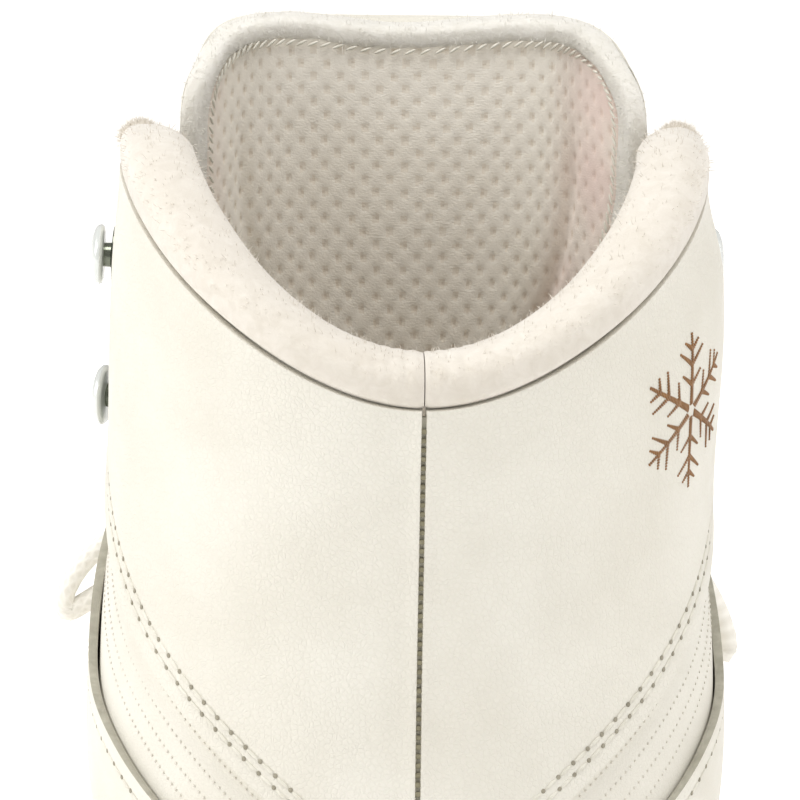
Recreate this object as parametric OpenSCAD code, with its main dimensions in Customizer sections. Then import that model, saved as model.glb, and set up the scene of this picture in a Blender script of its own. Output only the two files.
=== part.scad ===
// Figure skate for the right foot: a laced leather boot on a screwed-on steel blade.
// The toe points along +Y, and the blade stands on the plane z = 0.
// The upper is a stack of layers that all follow one last: a row of slanted sections,
// which run down the shaft, turn round the heel and run out to the toe.

/* [Leather and padding] */
// Thickness of the quarter and vamp leather
leather_t = 1.8; // [1.5:0.1:1.9]
// Thickness of the cuff and overlay leather
overlay_t = 1.4; // [1:0.1:1.6]
// Thickness of the foam round the ankle
foam_t = 3.6; // [3:0.2:4]
// Thickness of the mesh lining
lining_t = 0.8; // [0.6:0.1:0.9]
// Thickness of the tongue's foam
tongue_t = 4.2; // [3:0.2:4.6]
// Play between two layers of the upper
layer_gap = 0.2; // [0.16:0.02:0.24]

/* [Collar] */
// Height of the collar's seam above the ice at the centre back
collar_z = 224; // [218:1:230]
// How far the collar rises from the centre back to the sides
collar_rise = 24; // [16:1:27]
// Fall of the collar's seam from the side to its front tips
collar_fall = 4; // [0:0.5:6]
// Height of the padded roll
roll_h = 8.5; // [7:0.5:9]

/* [Lacing] */
// Number of eyelets on each side
eyelets = 6; // [4:1:6]
// Bore radius of an eyelet
eyelet_r = 2.2; // [2:0.1:2.4]
// Number of lace hooks on each side
hooks = 3; // [1:1:3]
// Distance between two hooks
hook_pitch = 25; // [20:1:26]
// Radius of a hook's head
hook_r = 4.8; // [4:0.1:5]

/* [Blade] */
// Thickness of the runner
runner_t = 4; // [3.6:0.1:4.2]
// Radius of the runner's rocker
rocker_r = 2130; // [1800:10:2600]
// Height of the heel plate's upper face
heel_plate_z = 43; // [41:0.5:45]
// Thickness of both mounting plates
plate_t = 3; // [2.6:0.2:3.2]
// Radius of a plate's screw hole
screw_hole_r = 2.3; // [2.2:0.05:2.4]

/* [Sole] */
// Thickness of the outsole
sole_t = 5; // [4.6:0.1:5]
// Thickness of the rubber lift under the heel
lift_t = 3; // [2.5:0.5:4]

/* [Hidden] */

// Moves every piece along Y, so that the origin is under the middle of the skate.
shift_y = -71.5;

// Sections of the last, from above the collar to the toe. Each row holds the section's back
// end (y, z), its front end (y, z), half its width, where it is widest from back to front,
// how square its back half and its front half are, and its sideways shift.
LAST = [
    [-53, 282, 51, 282, 43.5, 0.50, 2.3, 4.0, 0],
    [-51.5, 254, 50, 254, 44, 0.50, 2.3, 3.9, 0],
    [-49.5, 226, 49, 226, 44.7, 0.50, 2.3, 3.5, 0],
    [-48, 198, 49, 198, 46, 0.495, 2.3, 2.9, 0],
    [-49, 170, 52, 173, 48.5, 0.48, 2.3, 2.4, 0],
    [-53.5, 143, 58, 157, 48.3, 0.465, 2.25, 2.2, 0],
    [-56.5, 117, 64, 148, 43.5, 0.46, 2.2, 2.1, 0.3],
    [-51, 94, 70, 142, 38.5, 0.455, 2.3, 2.1, 0.7],
    [-30, 84, 77, 137, 35.5, 0.43, 2.5, 2.1, 1.3],
    [-4, 79, 86, 131, 34.5, 0.39, 2.7, 2.1, 2.0],
    [24, 70, 96, 124, 35.5, 0.35, 2.9, 2.1, 2.2],
    [52, 55, 108, 116, 38.5, 0.32, 3.0, 2.15, 1.8],
    [80, 47, 121, 108, 42.5, 0.30, 3.0, 2.2, 1],
    [107, 47, 136, 100, 45.2, 0.30, 3.0, 2.3, -0.5],
    [133, 47, 152, 94.5, 44.6, 0.31, 3.0, 2.3, -2],
    [157, 48, 169, 90, 41.5, 0.33, 3.0, 2.3, -3.8],
    [178, 51, 186, 85, 35, 0.36, 2.9, 2.3, -5.2],
    [193, 54.5, 199, 77.5, 25.5, 0.4, 2.7, 2.3, -6.2],
    [201, 57.5, 206, 68.5, 14, 0.45, 2.5, 2.3, -6.8],
    [204.5, 60, 207.4, 63.5, 4.5, 0.45, 2.4, 2.4, -7]];

// Outline of the outsole: y, half the width, sideways shift.
SOLE = [[-56, 3, 0], [-54, 11, 0], [-49.5, 19.5, 0.2], [-41, 26.5, 0.5], [-28, 31.5, 0.9],
    [-8, 34.3, 1.4], [18, 34, 2.1], [45, 35.5, 2], [70, 39.5, 1.3], [95, 44.3, 0.2],
    [120, 46, -1.2], [143, 45, -2.8], [163, 41.4, -4.2], [181, 35, -5.5], [196, 26, -6.3],
    [205, 15.5, -6.8], [209, 4.5, -7]];

// Front edge of the quarters, as an angle round the section from its front end.
FRONT_EDGE = [62, 60, 56, 47, 33, 24, 18.5, 15, 12.5, 11, 10, 9, 8.5];
// Side edge of the tongue, as an angle in the same way.
TONGUE_EDGE = [62, 61, 56, 38, 38, 40, 40, 38, 36, 34, 30, 26];
// Sections of the eyelets, from the top one down.
EYELETS = [4.45, 5.45, 6.75, 8.1, 9.3, 10.3];
// Outline of the overlay as [angle, section]: its lower edge from the heel along the sole and
// up the vamp's seam, and its upper edge from the heel round the ankle and down the facing.
OVERLAY_LOW = [[180, 6.84], [152, 6.98], [127, 7.45], [115, 8.3], [115, 9.4], [120, 10.7],
    [119, 12.1], [92, 12], [60, 11.8], [28, 11.6], [9, 11.45]];
OVERLAY_HIGH = [[180, 5.83], [166, 5.4], [146, 4.87], [118, 4.38], [92, 4.08], [71, 3.6],
    [48, 3.18], [28, 4.5], [15.6, 6.8], [11, 9], [9.2, 11.1]];

// Softening of the last's lower edge
bead = 5;
// Height of the last's bottom at the heel, and at the ball of the foot
seat_z = 96.5;
ball_z = 56;
// Upper face of the toe plate, just under the outsole
toe_plate_z = ball_z - sole_t - 0.2;
// Thickness of a stanchion, and height of the runner's upper edge
web_t = 6;
bar_z = 24;
// How far the screws reach up from the underside of their plate
toe_screw_l = 10.8;
heel_screw_l = 20;
// Outer face of the tongue, as a distance from the last's surface
tongue_d = -7.5;
// Thickness of the tongue's outer leather
tongue_skin = 1.3;
// Section of the tongue's upper edge, and the one it bends at, just above the top eyelets
tongue_top_u = 0.66;
hinge_u = 3.45;
// Section of the throat, where the vamp begins
vamp_u = 11.2;
// Radius of the lace, and the number of sides of its tubes
lace_r = 1.3;
steps = 8;
// The heel's breast, the foremost point of its lift
breast_y = 6;
// The lowest tooth of the toe pick
pick_y = 184;
// Facets of a round hole, pin or head
fine = 48;

// Places of the screws and of the spare holes, in the plates' own plane.
TOE_SCREWS = [[-24, 112], [24, 112], [-26, 134], [26, 134], [-20, 154], [20, 154]];
TOE_SPARE = [[-18, 96], [18, 96]];
HEEL_SCREWS = [[-17, -38], [17, -38], [-20, -12], [20, -12]];
HEEL_SPARE = [[-12, -3], [12, -3]];

// ---- the last ----

// A row of a list, held at its ends.
function row(list, k) = list[max(0, min(len(list) - 1, k))];
// A value between the rows of a list, on a smooth curve through them.
function along(list, u) =
    let (k = floor(u), t = u - k,
        a = row(list, k - 1), b = row(list, k), c = row(list, k + 1), d = row(list, k + 2))
    b + t / 2 * ((c - a) + t * ((2 * a - 5 * b + 4 * c - d) + t * (3 * (b - c) + d - a)));
// A soft step from 0 to 1, and a blend of two values.
function ease(t) = let (s = max(0, min(1, t))) s * s * (3 - 2 * s);
function mix(a, b, t) = a + (b - a) * t;

// Height of the last's bottom along the foot.
function sole_z(y) = mix(seat_z, ball_z, ease((y + 12) / 96)) + 0.0025 * pow(max(0, y - 165), 2);

// A point of the last's surface: angle a from the front end of section u, without the sole.
function free_point(a, u) =
    let (s = along(LAST, u), back = [s[0], s[1]], reach = [s[2] - s[0], s[3] - s[1]],
        c = cos(a), n = c > 0 ? s[7] : s[6],
        r = pow(pow(abs(c), n) + pow(abs(sin(a)), n), -1 / n),
        f = s[5] + (c > 0 ? 1 - s[5] : s[5]) * r * c)
    [s[8] + s[4] * r * sin(a), back.x + reach.x * f, back.y + reach.y * f];
// The same point with the sole's plane flattening it from below.
function last_point(a, u) =
    let (p = free_point(a, u), h = p.z - sole_z(p.y))
    [p.x, p.y, p.z - h + (h + sqrt(h * h + bead * bead)) / 2];
// The direction that points out of the last there.
function last_normal(a, u) =
    let (n = cross(last_point(a + 0.5, u) - last_point(a - 0.5, u),
            last_point(a, u + 0.02) - last_point(a, u - 0.02)))
    n / norm(n);
// A point d outside the last.
function at(a, u, d) = last_point(a, u) + last_normal(a, u) * d;

knot_at = at(0, 4.25, 5.5);

// The quarters' front and back edges, and an angle between them.
function front_edge(u) = along(FRONT_EDGE, u);
function back_edge(u) = 180 - 24 * ease((u - 6.9) / 1.3);
function side_angle(p, u) = mix(front_edge(u), back_edge(u), p);

// Height of the collar's seam, and the section it lies on, at an angle from the front.
function seam_z(a) = collar_z + collar_rise * ease((180 - abs(a)) / 83)
    - collar_fall * ease((97 - abs(a)) / 37);
function seam_u(a) = (282 - seam_z(a)) / 28;

// ---- layers ----

// Triangles of a closed sheet made of two grids: its faces, then its four borders.
function grid_faces(n, m) = let (w = m + 1, q = (n + 1) * w) [
    for (i = [0 : n - 1], j = [0 : m - 1]) let (k = i * w + j) each [
        [k, k + 1, k + w + 1], [k, k + w + 1, k + w],
        [q + k, q + k + w + 1, q + k + 1], [q + k, q + k + w, q + k + w + 1]],
    for (j = [0 : m - 1]) each [
        [j, q + j, q + j + 1], [j, q + j + 1, j + 1],
        [n * w + j, n * w + j + 1, q + n * w + j + 1],
        [n * w + j, q + n * w + j + 1, q + n * w + j]],
    for (i = [0 : n - 1]) let (k = i * w) each [
        [k, k + w, q + k + w], [k, q + k + w, q + k],
        [k + m, q + k + m, q + k + w + m], [k + m, q + k + w + m, k + w + m]]];

// A closed solid between two point grids of (n + 1) by (m + 1) points.
module slab(outer, inner, n, m, flip = false) {
    points = [for (g = [outer, inner]) for (r = g) each r];
    faces = grid_faces(n, m);
    polyhedron(points, flip ? [for (f = faces) [f[2], f[1], f[0]]] : faces, convexity = 8);
}

// A layer on one side of the boot. place(p, t) gives [angle, section] for p from the front
// to the back and t from the top down; the layer lies between d_in and d_out of the last.
module layer(side, place, d_in, d_out, n, m) {
    function level(d) = [for (i = [0 : n]) [for (j = [0 : m])
        let (w = place(i / n, j / m)) at(side * w[0], w[1], d)]];
    slab(level(d_out), level(d_in), n, m, side < 0);
}

// A tube of rings round the points of a path.
module tube(path, r) {
    n = len(path);
    function way(i) = let (v = path[min(n - 1, i + 1)] - path[max(0, i - 1)]) v / norm(v);
    function sides(i) =
        let (t = way(i), ref = abs(t.y) < 0.8 ? [0, 1, 0] : [0, 0, 1], a = cross(t, ref))
        [a / norm(a), cross(t, a / norm(a))];
    points = [for (i = [0 : n - 1]) let (s = sides(i)) for (k = [0 : steps - 1])
        path[i] + r * (s[0] * cos(360 * k / steps) + s[1] * sin(360 * k / steps))];
    walls = [for (i = [0 : n - 2], k = [0 : steps - 1])
        let (a = i * steps + k, b = i * steps + (k + 1) % steps)
        each [[a, a + steps, b + steps], [a, b + steps, b]]];
    ends = [[for (k = [0 : steps - 1]) k],
        [for (k = [steps - 1 : -1 : 0]) (n - 1) * steps + k]];
    polyhedron(points, concat(walls, ends), convexity = 10);
}

// Stands its children on the last at an angle and section, with +Z pointing outwards.
module on_last(a, u, d = 0) {
    n = last_normal(a, u);
    translate(at(a, u, d)) rotate([0, acos(n.z), atan2(n.y, n.x)]) children();
}

// ---- upper ----

// Sections of the cuff's lower edge, of the throat and of the collar's seam, for a place given
// as a fraction from the front edge to the back.
function cuff_low(p) = 3.1 + 2.2 * pow(max(0, p - 0.1) / 0.9, 1.7) - 0.25 * ease((p - 0.12) / 0.28);
function throat_u(p) = vamp_u + 0.6 * p;
function top_u(p) = seam_u(side_angle(p, seam_u(side_angle(p, 1.2))));

// Places of an eyelet and of a hook, as [angle, section].
function eyelet_place(i) = [front_edge(EYELETS[i]) + 9 - i * 0.3, EYELETS[i]];
function hook_place(i) = let (u = (282 - 229 + i * hook_pitch) / 28) [front_edge(u) + 12, u];

// The row of holes that the eyelets sit in.
module eyelet_holes(side) {
    for (i = [0 : eyelets - 1]) let (w = eyelet_place(i))
        on_last(side * w[0], w[1], -5) cylinder(r = eyelet_r + 0.5, h = 10, $fn = fine);
}

module quarter(side) {
    difference() {
        layer(side, function(p, t) let (u = mix(top_u(p) + 0.01, throat_u(p) - 0.05, t))
            [side_angle(p, u) - (p == 1 ? 0.3 : 0), u], -leather_t, 0, 14, 24);
        eyelet_holes(side);
    }
}

module cuff(side) {
    layer(side, function(p, t) let (u = mix(top_u(p) + 0.01, cuff_low(p), t))
        [side_angle(p, u) - (p == 1 ? 2 : 0), u], layer_gap, layer_gap + overlay_t, 14, 8);
}

module overlay(side) {
    difference() {
        layer(side, function(p, t)
            let (v = 10 * (1 - p), w = mix(along(OVERLAY_HIGH, v), along(OVERLAY_LOW, v), t))
            [min(w[0], 179.3), w[1]], layer_gap, layer_gap + overlay_t, 40, 14);
        eyelet_holes(side);
    }
}

module forepart() {
    layer(1, function(p, t)
        let (c = 2 * p - 1, u = mix(throat_u(abs(c)) + 0.02, 18.9, sin(90 * t)))
        [c * 142, u], -leather_t * 0.5, 0, 20, 12);
}

module toe_stiffener() {
    layer(1, function(p, t) [mix(-104, 104, p), mix(14.2, 17.4, t)],
        -leather_t * 0.5 - 2 * layer_gap - 0.9, -leather_t * 0.5 - 2 * layer_gap, 18, 6);
}

module heel_stiffener() {
    layer(1, function(p, t) [mix(112, 248, p), mix(4.9, 6.75, t)],
        -leather_t - 2 * layer_gap - 1.2, -leather_t - 2 * layer_gap, 16, 6);
}

module centre_seam() {
    layer(1, function(p, t) [mix(178.7, 181.3, p), mix(seam_u(180) + 0.05, 5.2, t)],
        layer_gap, layer_gap + overlay_t * 0.6, 2, 16);
}

module ankle_foam(side) {
    outer = -leather_t - layer_gap;
    layer(side, function(p, t) let (a = mix(80, 178.8, p)) [a, mix(seam_u(a) + 0.12, 4.75, t)],
        outer - foam_t, outer, 8, 10);
}

module ankle_lining(side) {
    outer = -leather_t - foam_t - 2 * layer_gap;
    layer(side, function(p, t) let (a = mix(78, 178.8, p)) [a, mix(seam_u(a) + 0.12, 6.0, t)],
        outer - lining_t, outer, 8, 12);
}

// The padded roll: a rounded section that follows the collar's seam and thins at its tip.
module collar(side) {
    n = 18;
    tip = 60.5;
    function centre_d(a) = mix(-1.4, -4.6, ease((a - tip) / 34));
    function half_w(a) = mix(3.2, 6.3, ease((a - tip) / 34));
    function ring(i) =
        let (a = mix(tip, 179.7, i / n), u = seam_u(a), z = at(side * a, u, 0).z,
            h = roll_h * mix(0.75, 1, ease((a - tip) / 25)))
        [for (k = [0 : 11]) let (q = 360 * (k + 0.5) / 12, m = sin(q) < 0 ? 5 : 2.2,
                r = pow(pow(abs(cos(q)), m) + pow(abs(sin(q)), m), -1 / m),
                p = at(side * a, u, centre_d(a) + half_w(a) * r * cos(q)))
            [p.x, p.y, z + 0.1 + h / 2 * (1 + r * sin(q))]];
    points = [for (i = [0 : n]) each ring(i)];
    walls = [for (i = [0 : n - 1], k = [0 : 11]) let (a = i * 12 + k, b = i * 12 + (k + 1) % 12)
        each [[a, a + 12, b + 12], [a, b + 12, b]]];
    ends = [[for (k = [0 : 11]) k], [for (k = [11 : -1 : 0]) n * 12 + k]];
    faces = concat(walls, ends);
    polyhedron(points, side > 0 ? faces : [for (f = faces) [for (k = [len(f) - 1 : -1 : 0]) f[k]]],
        convexity = 8);
}

// ---- tongue ----

function tongue_edge(u) = along(TONGUE_EDGE, u);

// A layer of the tongue between two sections; the top corners are rounded off.
module tongue_layer(u_top, u_end, d_in, d_out, trim, n, m) {
    layer(1, function(p, t)
        let (c = 2 * p - 1, top = u_top + trim * 0.035 + 0.42 * pow(abs(c), 6),
            u = mix(top, u_end, t))
        [c * (tongue_edge(u) - trim), u], d_in, d_out, n, m);
}

module upper_tongue_leather() {
    tongue_layer(tongue_top_u, hinge_u - 0.03, tongue_d - tongue_skin, tongue_d, 0, 14, 10);
}

module upper_tongue_foam() {
    outer = tongue_d - tongue_skin - layer_gap;
    tongue_layer(tongue_top_u, hinge_u - 0.03, outer - tongue_t, outer, 4.2, 12, 9);
}

module upper_tongue_lining() {
    outer = tongue_d - tongue_skin - tongue_t - 2 * layer_gap;
    tongue_layer(tongue_top_u, hinge_u - 0.06, outer - lining_t, outer, 4.2, 12, 9);
}

// The felt edge: a strip round the foam, between the cover and the lining.
module felt_edge() {
    n = 26;
    outer = tongue_d - tongue_skin - layer_gap;
    inner = outer - tongue_t - lining_t - layer_gap;
    function edge(s, trim) =
        let (leg = 0.34, side = s < 0.5 ? -1 : 1,
            along_leg = max(0, abs(s - 0.5) - (0.5 - leg)) / leg,
            c = side * min(1, abs(s - 0.5) / (0.5 - leg)),
            top = tongue_top_u + trim * 0.035 + 0.42 * pow(abs(c), 6),
            u = mix(top, hinge_u - 0.06, along_leg))
        [c * (tongue_edge(u) - trim), u];
    layer(1, function(p, t) edge(p, mix(0.2, 3.1, t)), inner, outer, n, 1);
}

// The tongue's lower part, which is sewn in at the throat and stays still.
module lower_tongue() {
    layer(1, function(p, t) let (u = mix(hinge_u + 0.05, 10.9, t)) [(2 * p - 1) * tongue_edge(u), u],
        tongue_d - tongue_skin - tongue_t, tongue_d, 10, 18);
}

// ---- metal on the facing ----

module hook_set(side) {
    for (i = [0 : hooks - 1]) let (w = hook_place(i))
        on_last(side * w[0], w[1], layer_gap + overlay_t + 0.3) {
            cylinder(r = hook_r, h = 0.6, $fn = fine);
            cylinder(r = 1.9, h = 3, $fn = fine);
            translate([0, 0, 2]) rotate_extrude($fn = fine)
                polygon([[0, 0], [hook_r - 0.6, 0], [hook_r, 0.5], [hook_r - 0.3, 1.1],
                    [hook_r * 0.6, 1.8], [0, 2.1]]);
        }
}

module eyelet_set(side) {
    top = layer_gap + overlay_t + 0.3;
    bottom = -leather_t - 0.5;
    for (i = [0 : eyelets - 1]) let (w = eyelet_place(i))
        on_last(side * w[0], w[1]) rotate_extrude($fn = fine)
            polygon([[eyelet_r, bottom - 0.4], [eyelet_r + 1.5, bottom - 0.4],
                [eyelet_r + 1.5, bottom], [eyelet_r + 0.35, bottom], [eyelet_r + 0.35, top],
                [eyelet_r + 2, top], [eyelet_r + 1.7, top + 0.5], [eyelet_r, top + 0.5]]);
}

// ---- lace ----

// The rows run up the boot. Each half of the lace comes up through an eyelet, crosses over
// the tongue and goes under the other facing to the next eyelet.
function lace_half(first, over) = [
    at(first * 0.6, eyelet_place(eyelets - 1)[1], -5.3),
    for (k = [0 : eyelets - 1])
        let (i = eyelets - 1 - k, side = first * (k % 2 == 0 ? 1 : -1), w = eyelet_place(i),
            u = w[1], e = front_edge(u), next = EYELETS[max(0, i - 1)])
        each concat(
            [at(side * (e + 1.5), u, -5.2), at(side * w[0], u, -4.4), at(side * w[0], u, -2),
             at(side * w[0], u, 2.6), at(side * (w[0] - 2.5), u - 0.04, 4.4)],
            i == 0 ? [at(side * (e - 3), u - 0.12, 4.6), knot_at + [side * 6.4, -0.8, -2.9]]
            : [at(side * (e - 2), mix(u, next, 0.22), 3.2), at(0, mix(u, next, 0.5), over)])];

// A loop of the bow, which stands out past the side of the ankle and droops.
module bow(side, reach, droop) {
    tube([for (s = [0 : 18]) let (q = 180 * s / 18, out = pow(sin(q), 0.7), up = cos(q))
        knot_at + [side * (6.2 + reach * out), -7 * out * out,
            1.3 + (1.4 + 5 * out * out) * sign(up) * pow(abs(up), 0.8) - droop * pow(sin(q), 4)]],
        lace_r);
}

// A loose end: down over the rows, then along the vamp.
module lace_end(side) {
    tube(concat([knot_at + [side * 2, 0.5, -5.1]],
        [for (s = [0 : 9]) let (t = s / 9)
            at(side * mix(5, 33, t * t), mix(4.75, 13.4, t), mix(8, 1.7, ease((t - 0.7) / 0.25)))]),
        lace_r);
}

// The metal tip of a loose end.
module aglet(side) {
    a = at(side * 33, 13.4, 1.7);
    b = at(side * 35.5, 14.2, 1.9);
    d = (b - a) / norm(b - a);
    translate(a + d * 0.4) rotate([0, acos(d.z), atan2(d.y, d.x)])
        cylinder(r = 1.4, h = 14, $fn = fine);
}

// ---- sole ----

function sole_half(v, inset) = let (s = along(SOLE, v)) [s[0], max(0.5, s[1] - inset), s[2]];

// A plate that follows the last's bottom, between two heights from it.
module sole_layer(from, to, inset, v_start, v_end, n, m) {
    function side_point(p, t, d) =
        let (s = sole_half(mix(v_start, v_end, t), inset), y = s[0] * (1 - inset / 130) + inset * 0.3)
        [s[2] + s[1] * (2 * p - 1), y, sole_z(y) + d];
    function level(d) = [for (i = [0 : n]) [for (j = [0 : m]) side_point(i / n, j / m, d)]];
    slab(level(to), level(from), n, m, true);
}

// A ring round the heel: half a round at the back, and the breast's shallow curve in front.
function heel_ring(z_of, inset, back, front) = [
    for (k = [-8 : 8]) let (q = 90 * k / 8, y = mix(-24, back, cos(q)))
        [(32.3 - inset) * sin(q) + 0.8, y, z_of(y)],
    for (k = [1 : 3])
        [(32.3 - inset) * (1 - k / 2) + 0.8, front - 3 * cos(90 * (k - 2)), z_of(front)]];

// A closed solid through a stack of rings.
module ring_stack(rings) {
    w = len(rings[0]);
    n = len(rings);
    walls = [for (i = [0 : n - 2], k = [0 : w - 1])
        let (a = i * w + k, b = i * w + (k + 1) % w) each [[a, b, b + w], [a, b + w, a + w]]];
    cap = [for (k = [1 : w - 2])
        each [[0, k + 1, k], [(n - 1) * w, (n - 1) * w + k, (n - 1) * w + k + 1]]];
    polyhedron([for (r = rings) each r], concat(walls, cap), convexity = 6);
}

module stacked_heel() {
    low = heel_plate_z + lift_t + 0.1;
    ring_stack([for (i = [0 : 5]) let (t = i / 5)
        heel_ring(function(y) mix(low, sole_z(y) - sole_t - 0.15, t),
            mix(4.2, 0.6, pow(t, 0.8)), mix(-50, -54.8, t), mix(breast_y, breast_y + 12, t * t))]);
}

module top_lift() {
    ring_stack([for (z = [heel_plate_z + 0.05, heel_plate_z + lift_t])
        heel_ring(function(y) z, 4.2, -50, breast_y)]);
}

// ---- blade ----

// Height of the runner's lower edge.
function rocker(y) = pow(y - 60, 2) / (2 * rocker_r);

module runner() {
    profile = concat(
        [for (y = [-64 : 12 : 176]) [y, rocker(y)]],
        [[180, 3.6], [pick_y, 2.2], [186.5, 6.5], [189.2, 5.6], [190.6, 10.4], [193.2, 9.8],
         [194, 14.6], [196.4, 14.4], [196.6, 19], [198.8, 19.2], [198.4, 24], [200, 25.5],
         [199, 30], [194, 33.4], [188, 32.6], [180, 28], [172, bar_z]],
        [[-34, bar_z], [-48, 21], [-60, 15.5], [-65.5, 10], [-66, 5]]);
    rotate([90, 0, 90]) linear_extrude(runner_t, center = true) polygon(profile);
}

// A stanchion in side view: a web with an opening, on the runner's upper edge.
module web(points, hole_y, hole_z, hole_r) {
    rotate([90, 0, 90]) linear_extrude(web_t, center = true) difference() {
        polygon(points);
        slot(hole_y, hole_z, hole_r);
    }
}

// A slot with round ends.
module slot(y, z, r) {
    translate([y - r * 0.7, z]) circle(r = r, $fn = fine);
    translate([y + r * 0.7, z]) circle(r = r, $fn = fine);
    translate([y, z]) square([1.4 * r, 2 * r], center = true);
}

// A mounting plate: its screws' holes are countersunk from below, and its spare holes are plain.
module plate(outline, top_z, sunk, plain) {
    difference() {
        translate([0, 0, top_z - plate_t]) linear_extrude(plate_t) polygon(outline);
        for (h = concat(sunk, plain)) translate([h.x, h.y, top_z - plate_t - 0.1])
            cylinder(r = screw_hole_r, h = plate_t + 0.2, $fn = fine);
        for (h = sunk) translate([h.x, h.y, top_z - plate_t - 0.1])
            cylinder(r1 = screw_hole_r + 1.7, r2 = screw_hole_r, h = 1.7, $fn = fine);
    }
}

// Points of an oval whose squareness is k.
function oval(cx, cy, rx, ry, k) = [
    for (q = [0 : 9 : 351]) let (r = pow(pow(abs(cos(q)), k) + pow(abs(sin(q)), k), -1 / k))
    [cx + rx * r * cos(q), cy + ry * r * sin(q)]];

module toe_web() {
    top = toe_plate_z - plate_t;
    web([[100, bar_z], [102, 30], [99, 38], [92, 44], [88, top], [167, top], [169, 40],
        [171, 32], [172, bar_z]], 134, 35, 6.5);
}

module heel_web() {
    top = heel_plate_z - plate_t;
    web([[-34, bar_z], [-36, 29], [-42, 35], [-47, top], [3, top], [-2, 35], [-7, 29],
        [-9, bar_z]], -22, 32, 4);
}

// A wood screw with a cross slot: its head fills the countersink, its shank ends in a point.
module screw(place, top_z, length) {
    translate([place.x, place.y, top_z - plate_t]) {
        difference() {
            cylinder(r1 = screw_hole_r + 1.55, r2 = screw_hole_r - 0.1, h = 1.65, $fn = fine);
            for (turn = [0, 90]) rotate(turn)
                translate([-1.9, -0.35, -0.1]) cube([3.8, 0.7, 0.9]);
        }
        translate([0, 0, 1.6]) cylinder(r = screw_hole_r - 0.3, h = length - 4.6, $fn = fine);
        translate([0, 0, length - 3]) cylinder(r1 = screw_hole_r - 0.3, r2 = 0.4, h = 3, $fn = fine);
    }
}

// ---- one module for each piece, in its own colour and at its place ----

module stand() {
    translate([0, shift_y, 0]) children();
}

module blade_runner() {
    color("silver") stand() runner();
}

module toe_stanchion() {
    color("silver") stand() toe_web();
}

module heel_stanchion() {
    color("silver") stand() heel_web();
}

module toe_plate() {
    color("silver") stand() plate(oval(0, 128, 33, 42, 2.6), toe_plate_z, TOE_SCREWS, TOE_SPARE);
}

module heel_plate() {
    color("silver") stand() plate(oval(0, -22, 28, 29, 2.6), heel_plate_z, HEEL_SCREWS, HEEL_SPARE);
}

module toe_screws() {
    color("gold") stand() for (h = TOE_SCREWS) screw(h, toe_plate_z, toe_screw_l);
}

module heel_screws() {
    color("gold") stand() for (h = HEEL_SCREWS) screw(h, heel_plate_z, heel_screw_l);
}

module outsole() {
    color("tan") stand() sole_layer(-sole_t, 0.1, 0, 0, 16, 4, 40);
}

module heel() {
    color("tan") stand() stacked_heel();
}

module heel_lift() {
    color("dimgray") stand() top_lift();
}

module shank() {
    color("lightsteelblue") stand() sole_layer(1.2, 2.6, 26, 4.5, 8, 2, 10);
}

module insole_board() {
    color("peru") stand() sole_layer(3, 5, 8.5, 0.4, 15.4, 4, 30);
}

module footbed() {
    color("beige") stand() sole_layer(5.3, 8.2, 7, 0.4, 15.4, 4, 30);
}

module quarter_left() {
    color("ivory") stand() quarter(-1);
}

module quarter_right() {
    color("ivory") stand() quarter(1);
}

module vamp() {
    color("white") stand() forepart();
}

module toe_puff() {
    color("gray") stand() toe_stiffener();
}

module heel_counter() {
    color("gray") stand() heel_stiffener();
}

module cuff_left() {
    color("linen") stand() cuff(-1);
}

module cuff_right() {
    color("linen") stand() cuff(1);
}

module overlay_left() {
    color("whitesmoke") stand() overlay(-1);
}

module overlay_right() {
    color("whitesmoke") stand() overlay(1);
}

module back_seam() {
    color("darkolivegreen") stand() centre_seam();
}

module ankle_foam_left() {
    color("khaki") stand() ankle_foam(-1);
}

module ankle_foam_right() {
    color("khaki") stand() ankle_foam(1);
}

module ankle_lining_left() {
    color("mistyrose") stand() ankle_lining(-1);
}

module ankle_lining_right() {
    color("mistyrose") stand() ankle_lining(1);
}

module collar_left() {
    color("seashell") stand() collar(-1);
}

module collar_right() {
    color("seashell") stand() collar(1);
}

module tongue_cover() {
    color("white") stand() upper_tongue_leather();
}

module tongue_foam() {
    color("khaki") stand() upper_tongue_foam();
}

module tongue_lining() {
    color("mistyrose") stand() upper_tongue_lining();
}

module tongue_binding() {
    color("lightgray") stand() felt_edge();
}

module tongue_base() {
    color("white") stand() lower_tongue();
}

module hooks_left() {
    color("silver") stand() hook_set(-1);
}

module hooks_right() {
    color("silver") stand() hook_set(1);
}

module eyelets_left() {
    color("silver") stand() eyelet_set(-1);
}

module eyelets_right() {
    color("silver") stand() eyelet_set(1);
}

module lace_left() {
    color("white") stand() tube(lace_half(-1, -1.3), lace_r);
}

module lace_right() {
    color("white") stand() tube(lace_half(1, -4.9), lace_r);
}

module lace_knot() {
    color("white") stand() translate(knot_at) rotate([0, 90, 0])
        cylinder(r = 3.6, h = 12, center = true, $fn = fine);
}

module bow_left() {
    color("white") stand() bow(-1, 47, 10);
}

module bow_right() {
    color("white") stand() bow(1, 49, 17);
}

module lace_end_left() {
    color("white") stand() lace_end(-1);
}

module lace_end_right() {
    color("white") stand() lace_end(1);
}

module aglets() {
    color("silver") stand() for (side = [-1, 1]) aglet(side);
}

// ---- the whole skate ----

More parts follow.
